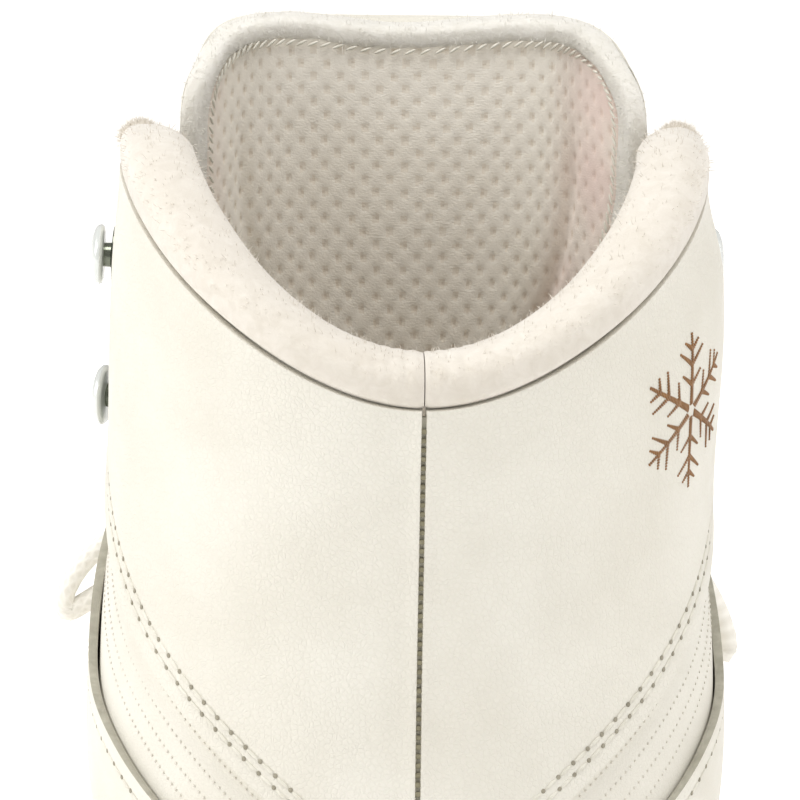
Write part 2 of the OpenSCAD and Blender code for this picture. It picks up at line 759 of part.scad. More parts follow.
blade_runner();
toe_stanchion();
heel_stanchion();
toe_plate();
heel_plate();
toe_screws();
heel_screws();
outsole();
heel();
heel_lift();
shank();
insole_board();
footbed();
quarter_left();
quarter_right();
vamp();
toe_puff();
heel_counter();
cuff_left();
cuff_right();
overlay_left();
overlay_right();
back_seam();
ankle_foam_left();
ankle_foam_right();
ankle_lining_left();
ankle_lining_right();
collar_left();
collar_right();
tongue_cover();
tongue_foam();
tongue_lining();
tongue_binding();
tongue_base();
hooks_left();
hooks_right();
eyelets_left();
eyelets_right();
lace_left();
lace_right();
lace_knot();
bow_left();
bow_right();
lace_end_left();
lace_end_right();
aglets();
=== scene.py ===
# %% [markdown]
# # A figure skate
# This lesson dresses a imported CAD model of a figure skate: a white laced leather boot on a steel
# blade. The CAD gives every piece its size, its place and its joint. Blender gives it leather,
# suede, felt, thread and chrome. Everything is in metres and in the CAD's own frame: the toe
# points along +Y, the blade stands on z = 0, and the floor's zero is under the skate's middle.

# %% The frame
import math
import bpy
import numpy as np
from mathutils import Matrix, Vector


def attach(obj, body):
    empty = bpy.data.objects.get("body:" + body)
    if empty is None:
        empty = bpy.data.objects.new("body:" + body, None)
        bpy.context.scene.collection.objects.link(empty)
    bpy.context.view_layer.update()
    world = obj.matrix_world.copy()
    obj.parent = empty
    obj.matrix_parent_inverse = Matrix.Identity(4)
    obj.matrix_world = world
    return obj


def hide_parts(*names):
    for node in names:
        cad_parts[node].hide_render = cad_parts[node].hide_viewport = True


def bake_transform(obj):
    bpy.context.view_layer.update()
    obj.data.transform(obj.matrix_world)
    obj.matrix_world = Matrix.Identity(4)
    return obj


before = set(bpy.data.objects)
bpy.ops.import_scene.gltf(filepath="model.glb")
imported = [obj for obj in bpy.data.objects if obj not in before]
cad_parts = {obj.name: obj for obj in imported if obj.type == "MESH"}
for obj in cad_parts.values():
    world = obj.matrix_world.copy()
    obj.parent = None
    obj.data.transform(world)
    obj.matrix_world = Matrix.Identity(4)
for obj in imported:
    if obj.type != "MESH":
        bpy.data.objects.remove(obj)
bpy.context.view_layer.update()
SKATE = "skate"
TONGUE = "tongue"
SIDES = ((-1, "left"), (1, "right"))

# %% [markdown]
# ## Camera
# The skate is looked at from close behind and a little above, so that the cuff fills the frame.
# A long lens from a metre and a half away keeps the sides of the shaft nearly upright. The camera
# is aimed through the foot of the collar at the centre back, which sits just right of the middle.

# %% Camera
def direction(azimuth, elevation):
    """The way a camera looks: azimuth 0 is along +Y, and a higher camera looks down."""
    a = math.radians(azimuth)
    e = math.radians(elevation)
    return Vector((-math.sin(a) * math.cos(e), math.cos(a) * math.cos(e), -math.sin(e)))


LENS = 444
DISTANCE = 1.5
forward = direction(-2.45, 16)
level = forward.cross(Vector((0, 0, 1))).normalized()
lift = level.cross(forward)
tilt = math.radians(1.0)
right = level * math.cos(tilt) + lift * math.sin(tilt)
up = lift * math.cos(tilt) - level * math.sin(tilt)
collar_back = Vector((0, -0.1213, 0.2243))
aim = collar_back - right * 0.0037 + up * 0.0009
camera_data = bpy.data.cameras.new("camera")
camera_data.lens = LENS
camera_data.sensor_width = 36
camera = bpy.data.objects.new("camera", camera_data)
bpy.context.scene.collection.objects.link(camera)
camera.location = aim - forward * DISTANCE
camera.rotation_euler = Matrix((right, up, -forward)).transposed().to_euler()
bpy.context.scene.camera = camera
print("camera at", [round(x, 3) for x in camera.location])

# %% [markdown]
# ## Floor and light
# A shoe this white needs a broad, soft light with one clear side, or its form is lost. A large
# area light on the left makes the left half bright and lets the right half fall to a warm grey.
# The sky fills the shadows, and the floor is a pale sheet of card.

# %% Floor and light
scene = bpy.context.scene
scene.view_settings.view_transform = "Standard"
world = bpy.data.worlds.new("studio")
scene.world = world
world.use_nodes = True
sky = world.node_tree.nodes["Background"]
sky.inputs["Color"].default_value = (1.0, 0.985, 0.96, 1)
sky.inputs["Strength"].default_value = 0.5


def area_light(name, place, target, size, power, tint):
    """A square soft light that faces a point."""
    data = bpy.data.lights.new(name, "AREA")
    data.size = size
    data.energy = power
    data.color = tint
    light = bpy.data.objects.new(name, data)
    light.location = place
    light.rotation_euler = (Vector(target) - Vector(place)).to_track_quat("-Z", "Y").to_euler()
    scene.collection.objects.link(light)


ANKLE = (0, -0.05, 0.15)
OPENING = (0, -0.03, 0.22)
area_light("key", (-1.9, -0.3, 1.0), ANKLE, 1.2, 20, (1.0, 0.985, 0.955))
area_light("fill", (1.9, -0.2, 0.9), ANKLE, 1.4, 8, (1.0, 0.975, 0.95))
area_light("top", (0.0, -0.4, 1.9), OPENING, 0.8, 18, (1, 0.985, 0.96))

bpy.ops.object.select_all(action="DESELECT")
bpy.ops.mesh.primitive_plane_add(size=16, location=(0, 0, -0.0005))
floor = bpy.context.object
floor.name = "floor"

# %% [markdown]
# ## The last
# A boot is built round a last, a solid foot of wood, and every layer of the upper follows it.
# Sculpting each layer by hand would let them drift apart. So the last is written down once, as a
# row of slanted sections with a smooth curve through them, and each layer is laid on it. A place
# on the boot is an angle round a section (0 in front, 180 at the back, minus on the left), the
# section's number from the collar down and out to the toe, and a distance from the last in mm.

# %% The last's surface
# Millimetres, with the heel near y = 0, until at() moves a place into the frame.
SHIFT_Y = -71.5
# Back y and z, front y and z, half width, widest place, two squarenesses, x of the middle.
LAST = np.array([
    [-53, 282, 51, 282, 43.5, 0.50, 2.3, 4.0, 0],
    [-51.5, 254, 50, 254, 44, 0.50, 2.3, 3.9, 0],
    [-49.5, 226, 49, 226, 44.7, 0.50, 2.3, 3.5, 0],
    [-48, 198, 49, 198, 46, 0.495, 2.3, 2.9, 0],
    [-49, 170, 52, 173, 48.5, 0.48, 2.3, 2.4, 0],
    [-53.5, 143, 58, 157, 48.3, 0.465, 2.25, 2.2, 0],
    [-56.5, 117, 64, 148, 43.5, 0.46, 2.2, 2.1, 0.3],
    [-51, 94, 70, 142, 38.5, 0.455, 2.3, 2.1, 0.7],
    [-30, 84, 77, 137, 35.5, 0.43, 2.5, 2.1, 1.3],
    [-4, 79, 86, 131, 34.5, 0.39, 2.7, 2.1, 2.0],
    [24, 70, 96, 124, 35.5, 0.35, 2.9, 2.1, 2.2],
    [52, 55, 108, 116, 38.5, 0.32, 3.0, 2.15, 1.8],
    [80, 47, 121, 108, 42.5, 0.30, 3.0, 2.2, 1],
    [107, 47, 136, 100, 45.2, 0.30, 3.0, 2.3, -0.5],
    [133, 47, 152, 94.5, 44.6, 0.31, 3.0, 2.3, -2],
    [157, 48, 169, 90, 41.5, 0.33, 3.0, 2.3, -3.8],
    [178, 51, 186, 85, 35, 0.36, 2.9, 2.3, -5.2],
    [193, 54.5, 199, 77.5, 25.5, 0.4, 2.7, 2.3, -6.2],
    [201, 57.5, 206, 68.5, 14, 0.45, 2.5, 2.3, -6.8],
    [204.5, 60, 207.4, 63.5, 4.5, 0.45, 2.4, 2.4, -7]], float)
# The sole's outline: y, half width, x of its middle.
SOLE = np.array([
    [-56, 3, 0], [-54, 11, 0], [-49.5, 19.5, 0.2], [-41, 26.5, 0.5], [-28, 31.5, 0.9],
    [-8, 34.3, 1.4], [18, 34, 2.1], [45, 35.5, 2], [70, 39.5, 1.3], [95, 44.3, 0.2],
    [120, 46, -1.2], [143, 45, -2.8], [163, 41.4, -4.2], [181, 35, -5.5], [196, 26, -6.3],
    [205, 15.5, -6.8], [209, 4.5, -7]], float)
# The angle of the facing and of the tongue's edge at each section.
FRONT_EDGE = np.array([62, 60, 56, 47, 33, 24, 18.5, 15, 12.5, 11, 10, 9, 8.5])
TONGUE_EDGE = np.array([62, 61, 56, 38, 38, 40, 40, 38, 36, 34, 30, 26], float)
# Sections of the eyelets, and the overlay's lower and upper edge as angle and section.
EYELETS = [4.45, 5.45, 6.75, 8.1, 9.3, 10.3]
OVERLAY_LOW = np.array([
    [180, 6.84], [152, 6.98], [127, 7.45], [115, 8.3], [115, 9.4], [120, 10.7],
    [119, 12.1], [92, 12], [60, 11.8], [28, 11.6], [9, 11.45]])
OVERLAY_HIGH = np.array([
    [180, 5.83], [166, 5.4], [146, 4.87], [118, 4.38], [92, 4.08], [71, 3.6],
    [48, 3.18], [28, 4.5], [15.6, 6.8], [11, 9], [9.2, 11.1]])


def along(table, u):
    """A value between the rows of a table, on a smooth curve through them."""
    u = np.asarray(u, float)
    k = np.floor(u).astype(int)
    t = u - k
    if table.ndim == 2:
        t = t[..., None]
    a, b, c, d = [table[np.clip(k + i, 0, len(table) - 1)] for i in (-1, 0, 1, 2)]
    return b + t / 2 * ((c - a) + t * ((2 * a - 5 * b + 4 * c - d) + t * (3 * (b - c) + d - a)))


def ease(t):
    """0 below 0 and 1 above 1, with a smooth step between."""
    t = np.clip(t, 0, 1)
    return t * t * (3 - 2 * t)


def mix(a, b, t):
    return a + (b - a) * t


def sole_z(y):
    """The height of the sole under the foot: high heel, low ball, toe turned up."""
    return mix(96.5, 56, ease((y + 12) / 96)) + 0.0025 * np.maximum(0, y - 165) ** 2


def last_point(a, u):
    s = along(LAST, u)
    c = np.cos(np.radians(a))
    w = np.sin(np.radians(a))
    n = np.where(c > 0, s[..., 7], s[..., 6])
    r = (np.abs(c) ** n + np.abs(w) ** n) ** (-1 / n)
    f = s[..., 5] + np.where(c > 0, 1 - s[..., 5], s[..., 5]) * r * c
    x = s[..., 8] + s[..., 4] * r * w
    y = s[..., 0] + (s[..., 2] - s[..., 0]) * f
    z = s[..., 1] + (s[..., 3] - s[..., 1]) * f
    h = z - sole_z(y)
    return np.stack([x, y, z - h + (h + np.sqrt(h * h + 25)) / 2], -1)


def last_normal(a, u):
    n = np.cross(last_point(a + 0.5, u) - last_point(a - 0.5, u),
                 last_point(a, u + 0.02) - last_point(a, u - 0.02))
    return n / np.linalg.norm(n, axis=-1, keepdims=True)


def at(a, u, d=0.0):
    """The place d millimetres outside the last, in metres in the frame."""
    a, u, d = np.broadcast_arrays(np.asarray(a, float), np.asarray(u, float), np.asarray(d, float))
    p = last_point(a, u) + last_normal(a, u) * d[..., None]
    p[..., 1] += SHIFT_Y
    return p / 1000


print("the last at the back of the collar:", at(180, 2.07).round(4))

# %% [markdown]
# ## Seams and edges
# The panels share their edges: the cuff ends where the collar's seam begins, and the facing is
# the front edge of every layer. Writing each edge down once keeps them together.

# %% Seams and edges
TOP_Z = 282
SECTION = 28
COLLAR_Z = 224
COLLAR_RISE = 24
COLLAR_FALL = 4
BACK_EDGE = 179.45


def front_edge(u):
    return along(FRONT_EDGE, u)


def back_edge(u):
    return 180 - 24 * ease((u - 6.9) / 1.3)


def side_angle(p, u):
    return mix(front_edge(u), back_edge(u), p)


def seam_z(a):
    """Height of the collar's seam in mm: lowest behind, highest at the sides."""
    round_back = ease((180 - np.abs(a)) / 83)
    round_front = ease((97 - np.abs(a)) / 37)
    return COLLAR_Z + COLLAR_RISE * round_back - COLLAR_FALL * round_front


def seam_u(a):
    """The same seam as a section; the sections of the shaft are 28 mm apart."""
    return (TOP_Z - seam_z(a)) / SECTION


def cuff_low(p):
    """The section of the cuff's lower edge, p from the facing (0) to the back (1)."""
    return 3.1 + 2.2 * (np.maximum(0, p - 0.1) / 0.9) ** 1.7 - 0.25 * ease((p - 0.12) / 0.28)


def throat_u(p):
    return 11.2 + 0.6 * p


def top_u(p):
    return seam_u(side_angle(p, seam_u(side_angle(p, 1.2))))


def ripple(a, u, size, seed=0.0):
    """Slow waves, so that no panel is machine-smooth. About 1 at most."""
    x = np.radians(a) * 45 / size + seed
    y = np.asarray(u) * SECTION / size - seed * 1.7
    return (np.sin(1.3 * x + 0.6 * y) + np.sin(-0.8 * x + 1.1 * y + 2)
            + 0.6 * np.sin(2.7 * x + 1.9 * y + 4) + 0.5 * np.sin(0.7 * x - 2.9 * y + 1)) / 3


print("collar seam at the back and side:", seam_z(180), seam_z(90))

# %% [markdown]
# ## Finishes
# Six looks cover the whole skate: leather, nap (suede, felt and foam), knitted mesh, braid, metal
# and stacked hide. Each could be painted on a picture, but a picture needs a good unwrap and
# blurs close up. Here each one is a node group, which works out its colour, roughness and height
# from the place on the piece, so it has its true scale: a leather pore is half a millimetre.

# %% Node helpers
def add(tree, kind, inputs=None, **settings):
    """A node with its settings; an input is a value or another node's output."""
    node = tree.nodes.new(kind)
    for key, value in settings.items():
        setattr(node, key, value)
    for key, value in (inputs or {}).items():
        if isinstance(value, bpy.types.NodeSocket):
            tree.links.new(value, node.inputs[key])
        else:
            node.inputs[key].default_value = value
    return node


LOOK_IN = [("Vector", "Vector", None), ("Pale", "Color", (1, 1, 1, 1)),
           ("Shade", "Color", (0.7, 0.7, 0.7, 1)), ("Size", "Float", 1.0)]
LOOK_OUT = [("Color", "Color"), ("Roughness", "Float"), ("Height", "Float")]


def new_look(name):
    """An empty node group with a look's named sockets, and its Vector and Size outputs inside."""
    tree = bpy.data.node_groups.new(name, "ShaderNodeTree")
    for label, kind, value in LOOK_IN:
        socket = tree.interface.new_socket(label, in_out="INPUT", socket_type="NodeSocket" + kind)
        if value is not None:
            socket.default_value = value
    for label, kind in LOOK_OUT:
        tree.interface.new_socket(label, in_out="OUTPUT", socket_type="NodeSocket" + kind)
    start = tree.nodes.new("NodeGroupInput")
    tree.nodes.new("NodeGroupOutput")
    return tree, start.outputs["Vector"], start.outputs["Size"]


def noise(tree, vector, scale, detail=2.0, rough=0.5, distortion=0.0):
    node = add(tree, "ShaderNodeTexNoise", {"Vector": vector, "Scale": scale, "Detail": detail,
               "Roughness": rough, "Distortion": distortion})
    return node.outputs["Fac"]


def math_node(tree, operation, a, b=0.0):
    return add(tree, "ShaderNodeMath", {0: a, 1: b}, operation=operation).outputs[0]


def plus(tree, a, b):
    return math_node(tree, "ADD", a, b)


def times(tree, a, b):
    return math_node(tree, "MULTIPLY", a, b)


def remap(tree, value, low, high, new_low, new_high):
    node = add(tree, "ShaderNodeMapRange", {"Value": value, "From Min": low, "From Max": high,
               "To Min": new_low, "To Max": new_high})
    return node.outputs["Result"]


def blend_colour(tree, fac, a, b):
    node = add(tree, "ShaderNodeMix", {"Factor": fac}, data_type="RGBA")
    for slot, colour in (("A", a), ("B", b)):
        socket = [s for s in node.inputs if s.name == slot and s.type == "RGBA"][0]
        if isinstance(colour, bpy.types.NodeSocket):
            tree.links.new(colour, socket)
        else:
            socket.default_value = colour
    return [s for s in node.outputs if s.type == "RGBA"][0]


def look_ends(tree, tone, roughness, height):
    """Links a look's outputs. Its tone, 0 to 1, runs from the Shade colour to the Pale one."""
    start = tree.nodes["Group Input"]
    end = tree.nodes["Group Output"]
    colour = blend_colour(tree, tone, start.outputs["Shade"], start.outputs["Pale"])
    tree.links.new(colour, end.inputs["Color"])
    tree.links.new(roughness, end.inputs["Roughness"])
    tree.links.new(height, end.inputs["Height"])


print("looks take", [x[0] for x in LOOK_IN])

# %% [markdown]
# ### Leather
# White skate leather is coated split hide: small pebbles parted by fine creases, pores in them,
# and a faint yellowing in slow patches. A cell pattern gives the pebbles and noise the pores.

# %% Leather look
leather_look, place, size = new_look("Leather look")
cells = add(leather_look, "ShaderNodeTexVoronoi", {"Vector": place,
            "Scale": times(leather_look, size, 1500.0)}, feature="DISTANCE_TO_EDGE")
crease = remap(leather_look, cells.outputs["Distance"], 0.0, 0.16, 0.0, 1.0)
pores = noise(leather_look, place, times(leather_look, size, 3200.0))
patches = noise(leather_look, place, 45.0, 3.0)
swell = noise(leather_look, place, 260.0)
# The creases between the pebbles are darkened in colour as painted shade; the slow patches are the leather's
# own yellowing.
tone = times(leather_look, remap(leather_look, patches, 0.35, 0.65, 0.55, 1.0),
             remap(leather_look, crease, 0.0, 1.0, 0.87, 1.0))
height = plus(leather_look, times(leather_look, crease, 0.35), times(leather_look, pores, 0.5))
height = plus(leather_look, height, times(leather_look, swell, 0.9))
look_ends(leather_look, tone, remap(leather_look, swell, 0.3, 0.7, 0.40, 0.56), height)
print("leather nodes:", len(leather_look.nodes))

# %% [markdown]
# ### Nap
# Suede, felt, foam and bare fibre are all a mat of fine hairs. Stretched noise at two sizes
# gives the hairs and the brushed patches that lie one way or the other.

# %% Nap look
nap_look, place, size = new_look("Nap look")
hairs = noise(nap_look, place, times(nap_look, size, 2600.0), 4.0, 0.7, 1.2)
tufts = noise(nap_look, place, times(nap_look, size, 420.0), 3.0, 0.6, 0.6)
brushed = noise(nap_look, place, 90.0, 3.0)
tone = times(nap_look, remap(nap_look, tufts, 0.3, 0.7, 0.35, 1.0),
             remap(nap_look, brushed, 0.35, 0.65, 0.7, 1.0))
height = plus(nap_look, times(nap_look, hairs, 0.7), tufts)
look_ends(nap_look, tone, remap(nap_look, hairs, 0.3, 0.7, 0.82, 1.0), height)
print("nap nodes:", len(nap_look.nodes))

# %% [markdown]
# ### Knitted mesh
# The lining is a spacer knit. Long pits stand in staggered rows on a ground of fine ribs. A
# regular cell pattern turned by 45 degrees gives the staggered places, and it is stretched along
# the boot so that each cell's middle becomes a long pit. It works on the piece's UVs, in metres.

# %% Mesh look
mesh_look, place, size = new_look("Mesh look")
stagger = add(mesh_look, "ShaderNodeMapping", {"Vector": place, "Scale": (590, 337, 1),
              "Rotation": (0, 0, math.radians(45))})
pits = add(mesh_look, "ShaderNodeTexVoronoi", {"Vector": stagger.outputs["Vector"], "Scale": 1.0,
           "Randomness": 0.06}, voronoi_dimensions="2D")
pit = remap(mesh_look, pits.outputs["Distance"], 0.12, 0.36, 0.0, 1.0)
hollow = times(mesh_look, math_node(mesh_look, "SUBTRACT", 1.0, pit), size)
pit = math_node(mesh_look, "SUBTRACT", 1.0, hollow)
ribs = add(mesh_look, "ShaderNodeTexWave", {"Vector": place, "Scale": 640.0, "Distortion": 1.2,
           "Detail": 1.0, "Detail Scale": 3.0}, bands_direction="DIAGONAL").outputs["Fac"]
knit = noise(mesh_look, place, 3600.0)
wear = noise(mesh_look, place, 70.0, 3.0)
# The pits and the grooves between the ribs are darkened in colour as painted shade; Size fades the pits'
# shade and depth together.
tone = times(mesh_look, remap(mesh_look, pit, 0, 1, 0.25, 1.0), remap(mesh_look, ribs, 0, 1, 0.985, 1.0))
tone = times(mesh_look, tone, remap(mesh_look, wear, 0.35, 0.65, 0.8, 1.0))
height = plus(mesh_look, times(mesh_look, pit, 1.6), times(mesh_look, ribs, 0.03))
height = plus(mesh_look, height, times(mesh_look, knit, 0.5))
look_ends(mesh_look, tone, remap(mesh_look, knit, 0.3, 0.7, 0.8, 1.0), height)
print("mesh nodes:", len(mesh_look.nodes))

# %% [markdown]
# ### Braid, metal and stacked hide
# A lace is braided from flat bundles that cross on two slants. Metal shows fine scratches along
# its length. The heel is a stack of hide slices, with a dark line of glue between each two.

# %% Braid look
braid_look, place, size = new_look("Braid look")
slants = []
for turn in (-38, 38):
    way = add(braid_look, "ShaderNodeMapping", {"Vector": place, "Rotation": (0, 0, math.radians(turn))})
    wave = add(braid_look, "ShaderNodeTexWave", {"Vector": way.outputs["Vector"], "Scale": 230.0},
               bands_direction="X")
    slants.append(wave.outputs["Fac"])
bundles = math_node(braid_look, "MAXIMUM", slants[0], slants[1])
lint = noise(braid_look, place, 4200.0, 3.0, 0.7)
# The grooves between the bundles are darkened in colour as painted shade; the lint gives a random tone.
tone = times(braid_look, remap(braid_look, bundles, 0, 1, 0.5, 1.0),
             remap(braid_look, lint, 0.3, 0.7, 0.75, 1.0))
height = plus(braid_look, bundles, times(braid_look, lint, 0.4))
look_ends(braid_look, tone, remap(braid_look, lint, 0.3, 0.7, 0.75, 0.95), height)
print("braid nodes:", len(braid_look.nodes))

# %% Metal look
metal_look, place, size = new_look("Metal look")
drawn = add(metal_look, "ShaderNodeMapping", {"Vector": place, "Scale": (1, 0.04, 1)})
lines = noise(metal_look, drawn.outputs["Vector"], 1800.0, 3.0, 0.6)
smudge = noise(metal_look, place, 55.0, 3.0)
rough = plus(metal_look, remap(metal_look, smudge, 0.3, 0.7, 0.10, 0.24), times(metal_look, lines, 0.12))
look_ends(metal_look, remap(metal_look, smudge, 0.3, 0.7, 0.5, 1.0), rough, lines)
print("metal nodes:", len(metal_look.nodes))

# %% Hide look
hide_look, place, size = new_look("Hide look")
height_in = add(hide_look, "ShaderNodeSeparateXYZ", {"Vector": place}).outputs["Z"]
wobble = noise(hide_look, place, 60.0)
layer = times(hide_look, plus(hide_look, height_in, times(hide_look, wobble, 0.0012)), 200.0)
slice_at = math_node(hide_look, "FRACT", layer)
from_middle = math_node(hide_look, "ABSOLUTE", math_node(hide_look, "SUBTRACT", slice_at, 0.5))
glue = remap(hide_look, from_middle, 0.42, 0.48, 1.0, 0.0)
fibre_way = add(hide_look, "ShaderNodeMapping", {"Vector": place, "Scale": (1, 1, 7)})
fibre = noise(hide_look, fibre_way.outputs["Vector"], 420.0, 4.0, 0.65)
tone = times(hide_look, remap(hide_look, glue, 0, 1, 0.25, 1.0),
             remap(hide_look, fibre, 0.25, 0.75, 0.45, 1.0))
height = plus(hide_look, glue, times(hide_look, fibre, 0.5))
look_ends(hide_look, tone, remap(hide_look, fibre, 0.3, 0.7, 0.3, 0.5), height)
print("groups:", [g.name for g in bpy.data.node_groups])

# %% [markdown]
# ### Materials
# Each finish of the skate is one material: a look with its own two colours, size and depth. The
# Principled shader stays in the material itself. A pale finish and its shade lie close together
# on white leather, and further apart on felt, hide and steel.

# %% Materials
def paint(name, look_group, pale, shade, size=1.0, depth=0.0002, strength=0.35, metallic=0.0,
          sheen=0.0, coat=0.0, uv=False, rough=None):
    """A material that shows one look. Colours are given as seen on a screen, 0 to 1."""
    m = bpy.data.materials.new(name)
    m.use_nodes = True
    t = m.node_tree
    shader = t.nodes["Principled BSDF"]
    place = t.nodes.new("ShaderNodeTexCoord")
    look = t.nodes.new("ShaderNodeGroup")
    look.node_tree = look_group
    t.links.new(place.outputs["UV" if uv else "Object"], look.inputs["Vector"])
    look.inputs["Pale"].default_value = (*[x ** 2.2 for x in pale], 1)
    look.inputs["Shade"].default_value = (*[x ** 2.2 for x in shade], 1)
    look.inputs["Size"].default_value = size
    bump = add(t, "ShaderNodeBump", {"Distance": depth, "Strength": strength,
               "Height": look.outputs["Height"]})
    roughness = look.outputs["Roughness"]
    if rough:
        roughness = remap(t, roughness, 0.1, 1.0, rough[0], rough[1])
    t.links.new(bump.outputs["Normal"], shader.inputs["Normal"])
    t.links.new(look.outputs["Color"], shader.inputs["Base Color"])
    t.links.new(roughness, shader.inputs["Roughness"])
    for label, value in (("Metallic", metallic), ("Sheen Weight", sheen), ("Sheen Roughness", 0.6),
                         ("Coat Weight", coat), ("Coat Roughness", 0.3)):
        shader.inputs[label].default_value = value
    return m


white_leather = paint("white_leather", leather_look, (0.908, 0.897, 0.86), (0.835, 0.817, 0.768))
cuff_leather = paint("cuff_leather", leather_look, (0.908, 0.897, 0.86), (0.84, 0.822, 0.774), 0.8,
                     0.0003, 0.5)
# Grey for raw leather edges and the back seam: partly the raw edge's own colour, partly painted shade.
cut_edge = paint("cut_edge", nap_look, (0.74, 0.73, 0.68), (0.58, 0.565, 0.51), 1.2)
# Darker leather colour for the embossed dots: painted shade of pressed dimples.
cut_edge_pale = paint("cut_edge_pale", nap_look, (0.875, 0.86, 0.82), (0.82, 0.80, 0.755))
flesh_side = paint("flesh_side", nap_look, (0.84, 0.80, 0.72), (0.74, 0.69, 0.60))
suede = paint("suede", nap_look, (0.905, 0.882, 0.845), (0.83, 0.80, 0.75), 1.0, 0.00025, 0.5, sheen=0.5)
felt = paint("felt", nap_look, (0.985, 0.975, 0.95), (0.89, 0.875, 0.83), 1.4, 0.0004, 0.8, sheen=0.6)
foam = paint("foam", nap_look, (0.84, 0.80, 0.62), (0.68, 0.62, 0.44), 0.7, 0.0003, 0.6)
mesh_cloth = paint("mesh_cloth", mesh_look, (0.95, 0.925, 0.885), (0.80, 0.74, 0.67), 1.0, 0.0004, 0.8,
                   uv=True, sheen=0.2)
# The tongue lining is the same mesh as mesh_cloth, made paler: painted light on the tongue's shaded inside.
# Its pits are in the sheet, so Size is 0.
tongue_mesh = paint("tongue_mesh", mesh_look, (0.985, 0.965, 0.925), (0.89, 0.85, 0.775), 0.0, 0.0003, 0.6,
                    uv=True, sheen=0.2)
# Darker copies of the tongue lining's mesh for the faces round and in its pits: painted shade in the pits.
mesh_pit_edge = paint("mesh_pit_edge", mesh_look, (0.95, 0.92, 0.87), (0.85, 0.80, 0.72), 0.0, 0.0003, 0.5,
                      uv=True)
mesh_pit = paint("mesh_pit", mesh_look, (0.90, 0.86, 0.80), (0.80, 0.74, 0.66), 0.0, 0.0003, 0.5, uv=True)
braid = paint("braid", braid_look, (0.975, 0.965, 0.94), (0.885, 0.87, 0.83), 1.0, 0.0003, 0.5, uv=True)
thread_pale = paint("thread_pale", nap_look, (0.93, 0.92, 0.88), (0.80, 0.785, 0.73), 1.5)
thread_grey = paint("thread_grey", nap_look, (0.62, 0.60, 0.51), (0.44, 0.42, 0.34), 1.5)
thread_bronze = paint("thread_bronze", nap_look, (0.62, 0.44, 0.24), (0.42, 0.28, 0.13), 1.5, sheen=0.3)
# Darker nap for the needle holes between stitches: painted shade in the holes.
needle_hole = paint("needle_hole", nap_look, (0.66, 0.64, 0.58), (0.5, 0.48, 0.42))
chrome = paint("chrome", metal_look, (0.80, 0.805, 0.815), (0.66, 0.665, 0.68), 1.0, 0.00002, 0.1, 1.0,
               rough=(0.08, 0.3))
nickel = paint("nickel", metal_look, (0.83, 0.83, 0.82), (0.68, 0.68, 0.67), 1.0, 0.00003, 0.2, 1.0)
enamel = paint("enamel", metal_look, (0.90, 0.915, 0.91), (0.80, 0.82, 0.815), 1.0, 0.00004, 0.2, 0.25,
               coat=0.5)
# Dark metal for the hooks' base and neck: painted shade under the white heads.
dark_metal = paint("dark_metal", metal_look, (0.50, 0.52, 0.47), (0.36, 0.38, 0.33), 1.0, 0.00004, 0.3, 0.8)
brass = paint("brass", metal_look, (0.88, 0.78, 0.50), (0.72, 0.60, 0.34), 1.0, 0.00003, 0.2, 1.0)
spring_steel = paint("spring_steel", metal_look, (0.62, 0.63, 0.65), (0.45, 0.46, 0.48), 1.0, 0.00003,
                     0.3, 1.0)
sole_leather = paint("sole_leather", leather_look, (0.62, 0.40, 0.22), (0.50, 0.30, 0.15), 0.6, coat=0.25)
sole_edge = paint("sole_edge", hide_look, (0.55, 0.34, 0.18), (0.34, 0.19, 0.09), coat=0.35)
heel_hide = paint("heel_hide", hide_look, (0.58, 0.36, 0.19), (0.30, 0.165, 0.08), coat=0.4)
rubber = paint("rubber", nap_look, (0.20, 0.20, 0.20), (0.12, 0.12, 0.12), 0.8, rough=(0.5, 0.75))
board = paint("board", nap_look, (0.66, 0.52, 0.36), (0.52, 0.39, 0.25))
footbed_cloth = paint("footbed_cloth", mesh_look, (0.93, 0.90, 0.84), (0.80, 0.76, 0.68))
plastic = paint("plastic", leather_look, (0.92, 0.92, 0.90), (0.84, 0.84, 0.82), 2.0, 0.00003, 0.2,
                coat=0.6, rough=(0.1, 0.4))
card = paint("card", nap_look, (0.99, 0.985, 0.975), (0.975, 0.97, 0.96), 0.05, 0.0001, 0.05)
card_shader = card.node_tree.nodes["Principled BSDF"]
card_shader.inputs["Emission Color"].default_value = (1, 1, 1, 1)
card_shader.inputs["Emission Strength"].default_value = 0.3
floor.data.materials.append(card)
print("materials:", len(bpy.data.materials))

# %% [markdown]
# ## Laying leather on the last
# A shoemaker cuts each panel flat and pulls it over the last. The same is done here: a flat grid
# is added, and each of its points is laid at its own place on the last. Solidify then gives the
# sheet its thickness and a bevel rounds its edges. Pushing a cube about or shrink-wrapping would
# lose the seams' exact lines. A relief, in millimetres, lets stitches pull grooves into it.

# %% Panels
def only(obj):
    """Makes one object the only selected and the active one."""
    bpy.ops.object.select_all(action="DESELECT")
    obj.select_set(True)
    bpy.context.view_layer.objects.active = obj


def apply_all(obj):
    only(obj)
    for modifier in list(obj.modifiers):
        bpy.ops.object.modifier_apply(modifier=modifier.name)


def smooth_under(obj, degrees):
    """Shades a piece smooth, but keeps the edges that are sharper than an angle."""
    only(obj)
    bpy.ops.object.shade_smooth_by_angle(angle=math.radians(degrees))


def uv_size(obj, across, down):
    """Stretches a grid's UVs to its own size in metres."""
    uv = obj.data.uv_layers[0].data
    values = np.empty(len(uv) * 2)
    uv.foreach_get("uv", values)
    values = values.reshape(-1, 2)
    values *= [across, down] / np.maximum(values.max(0), 1e-9)
    uv.foreach_set("uv", values.ravel())


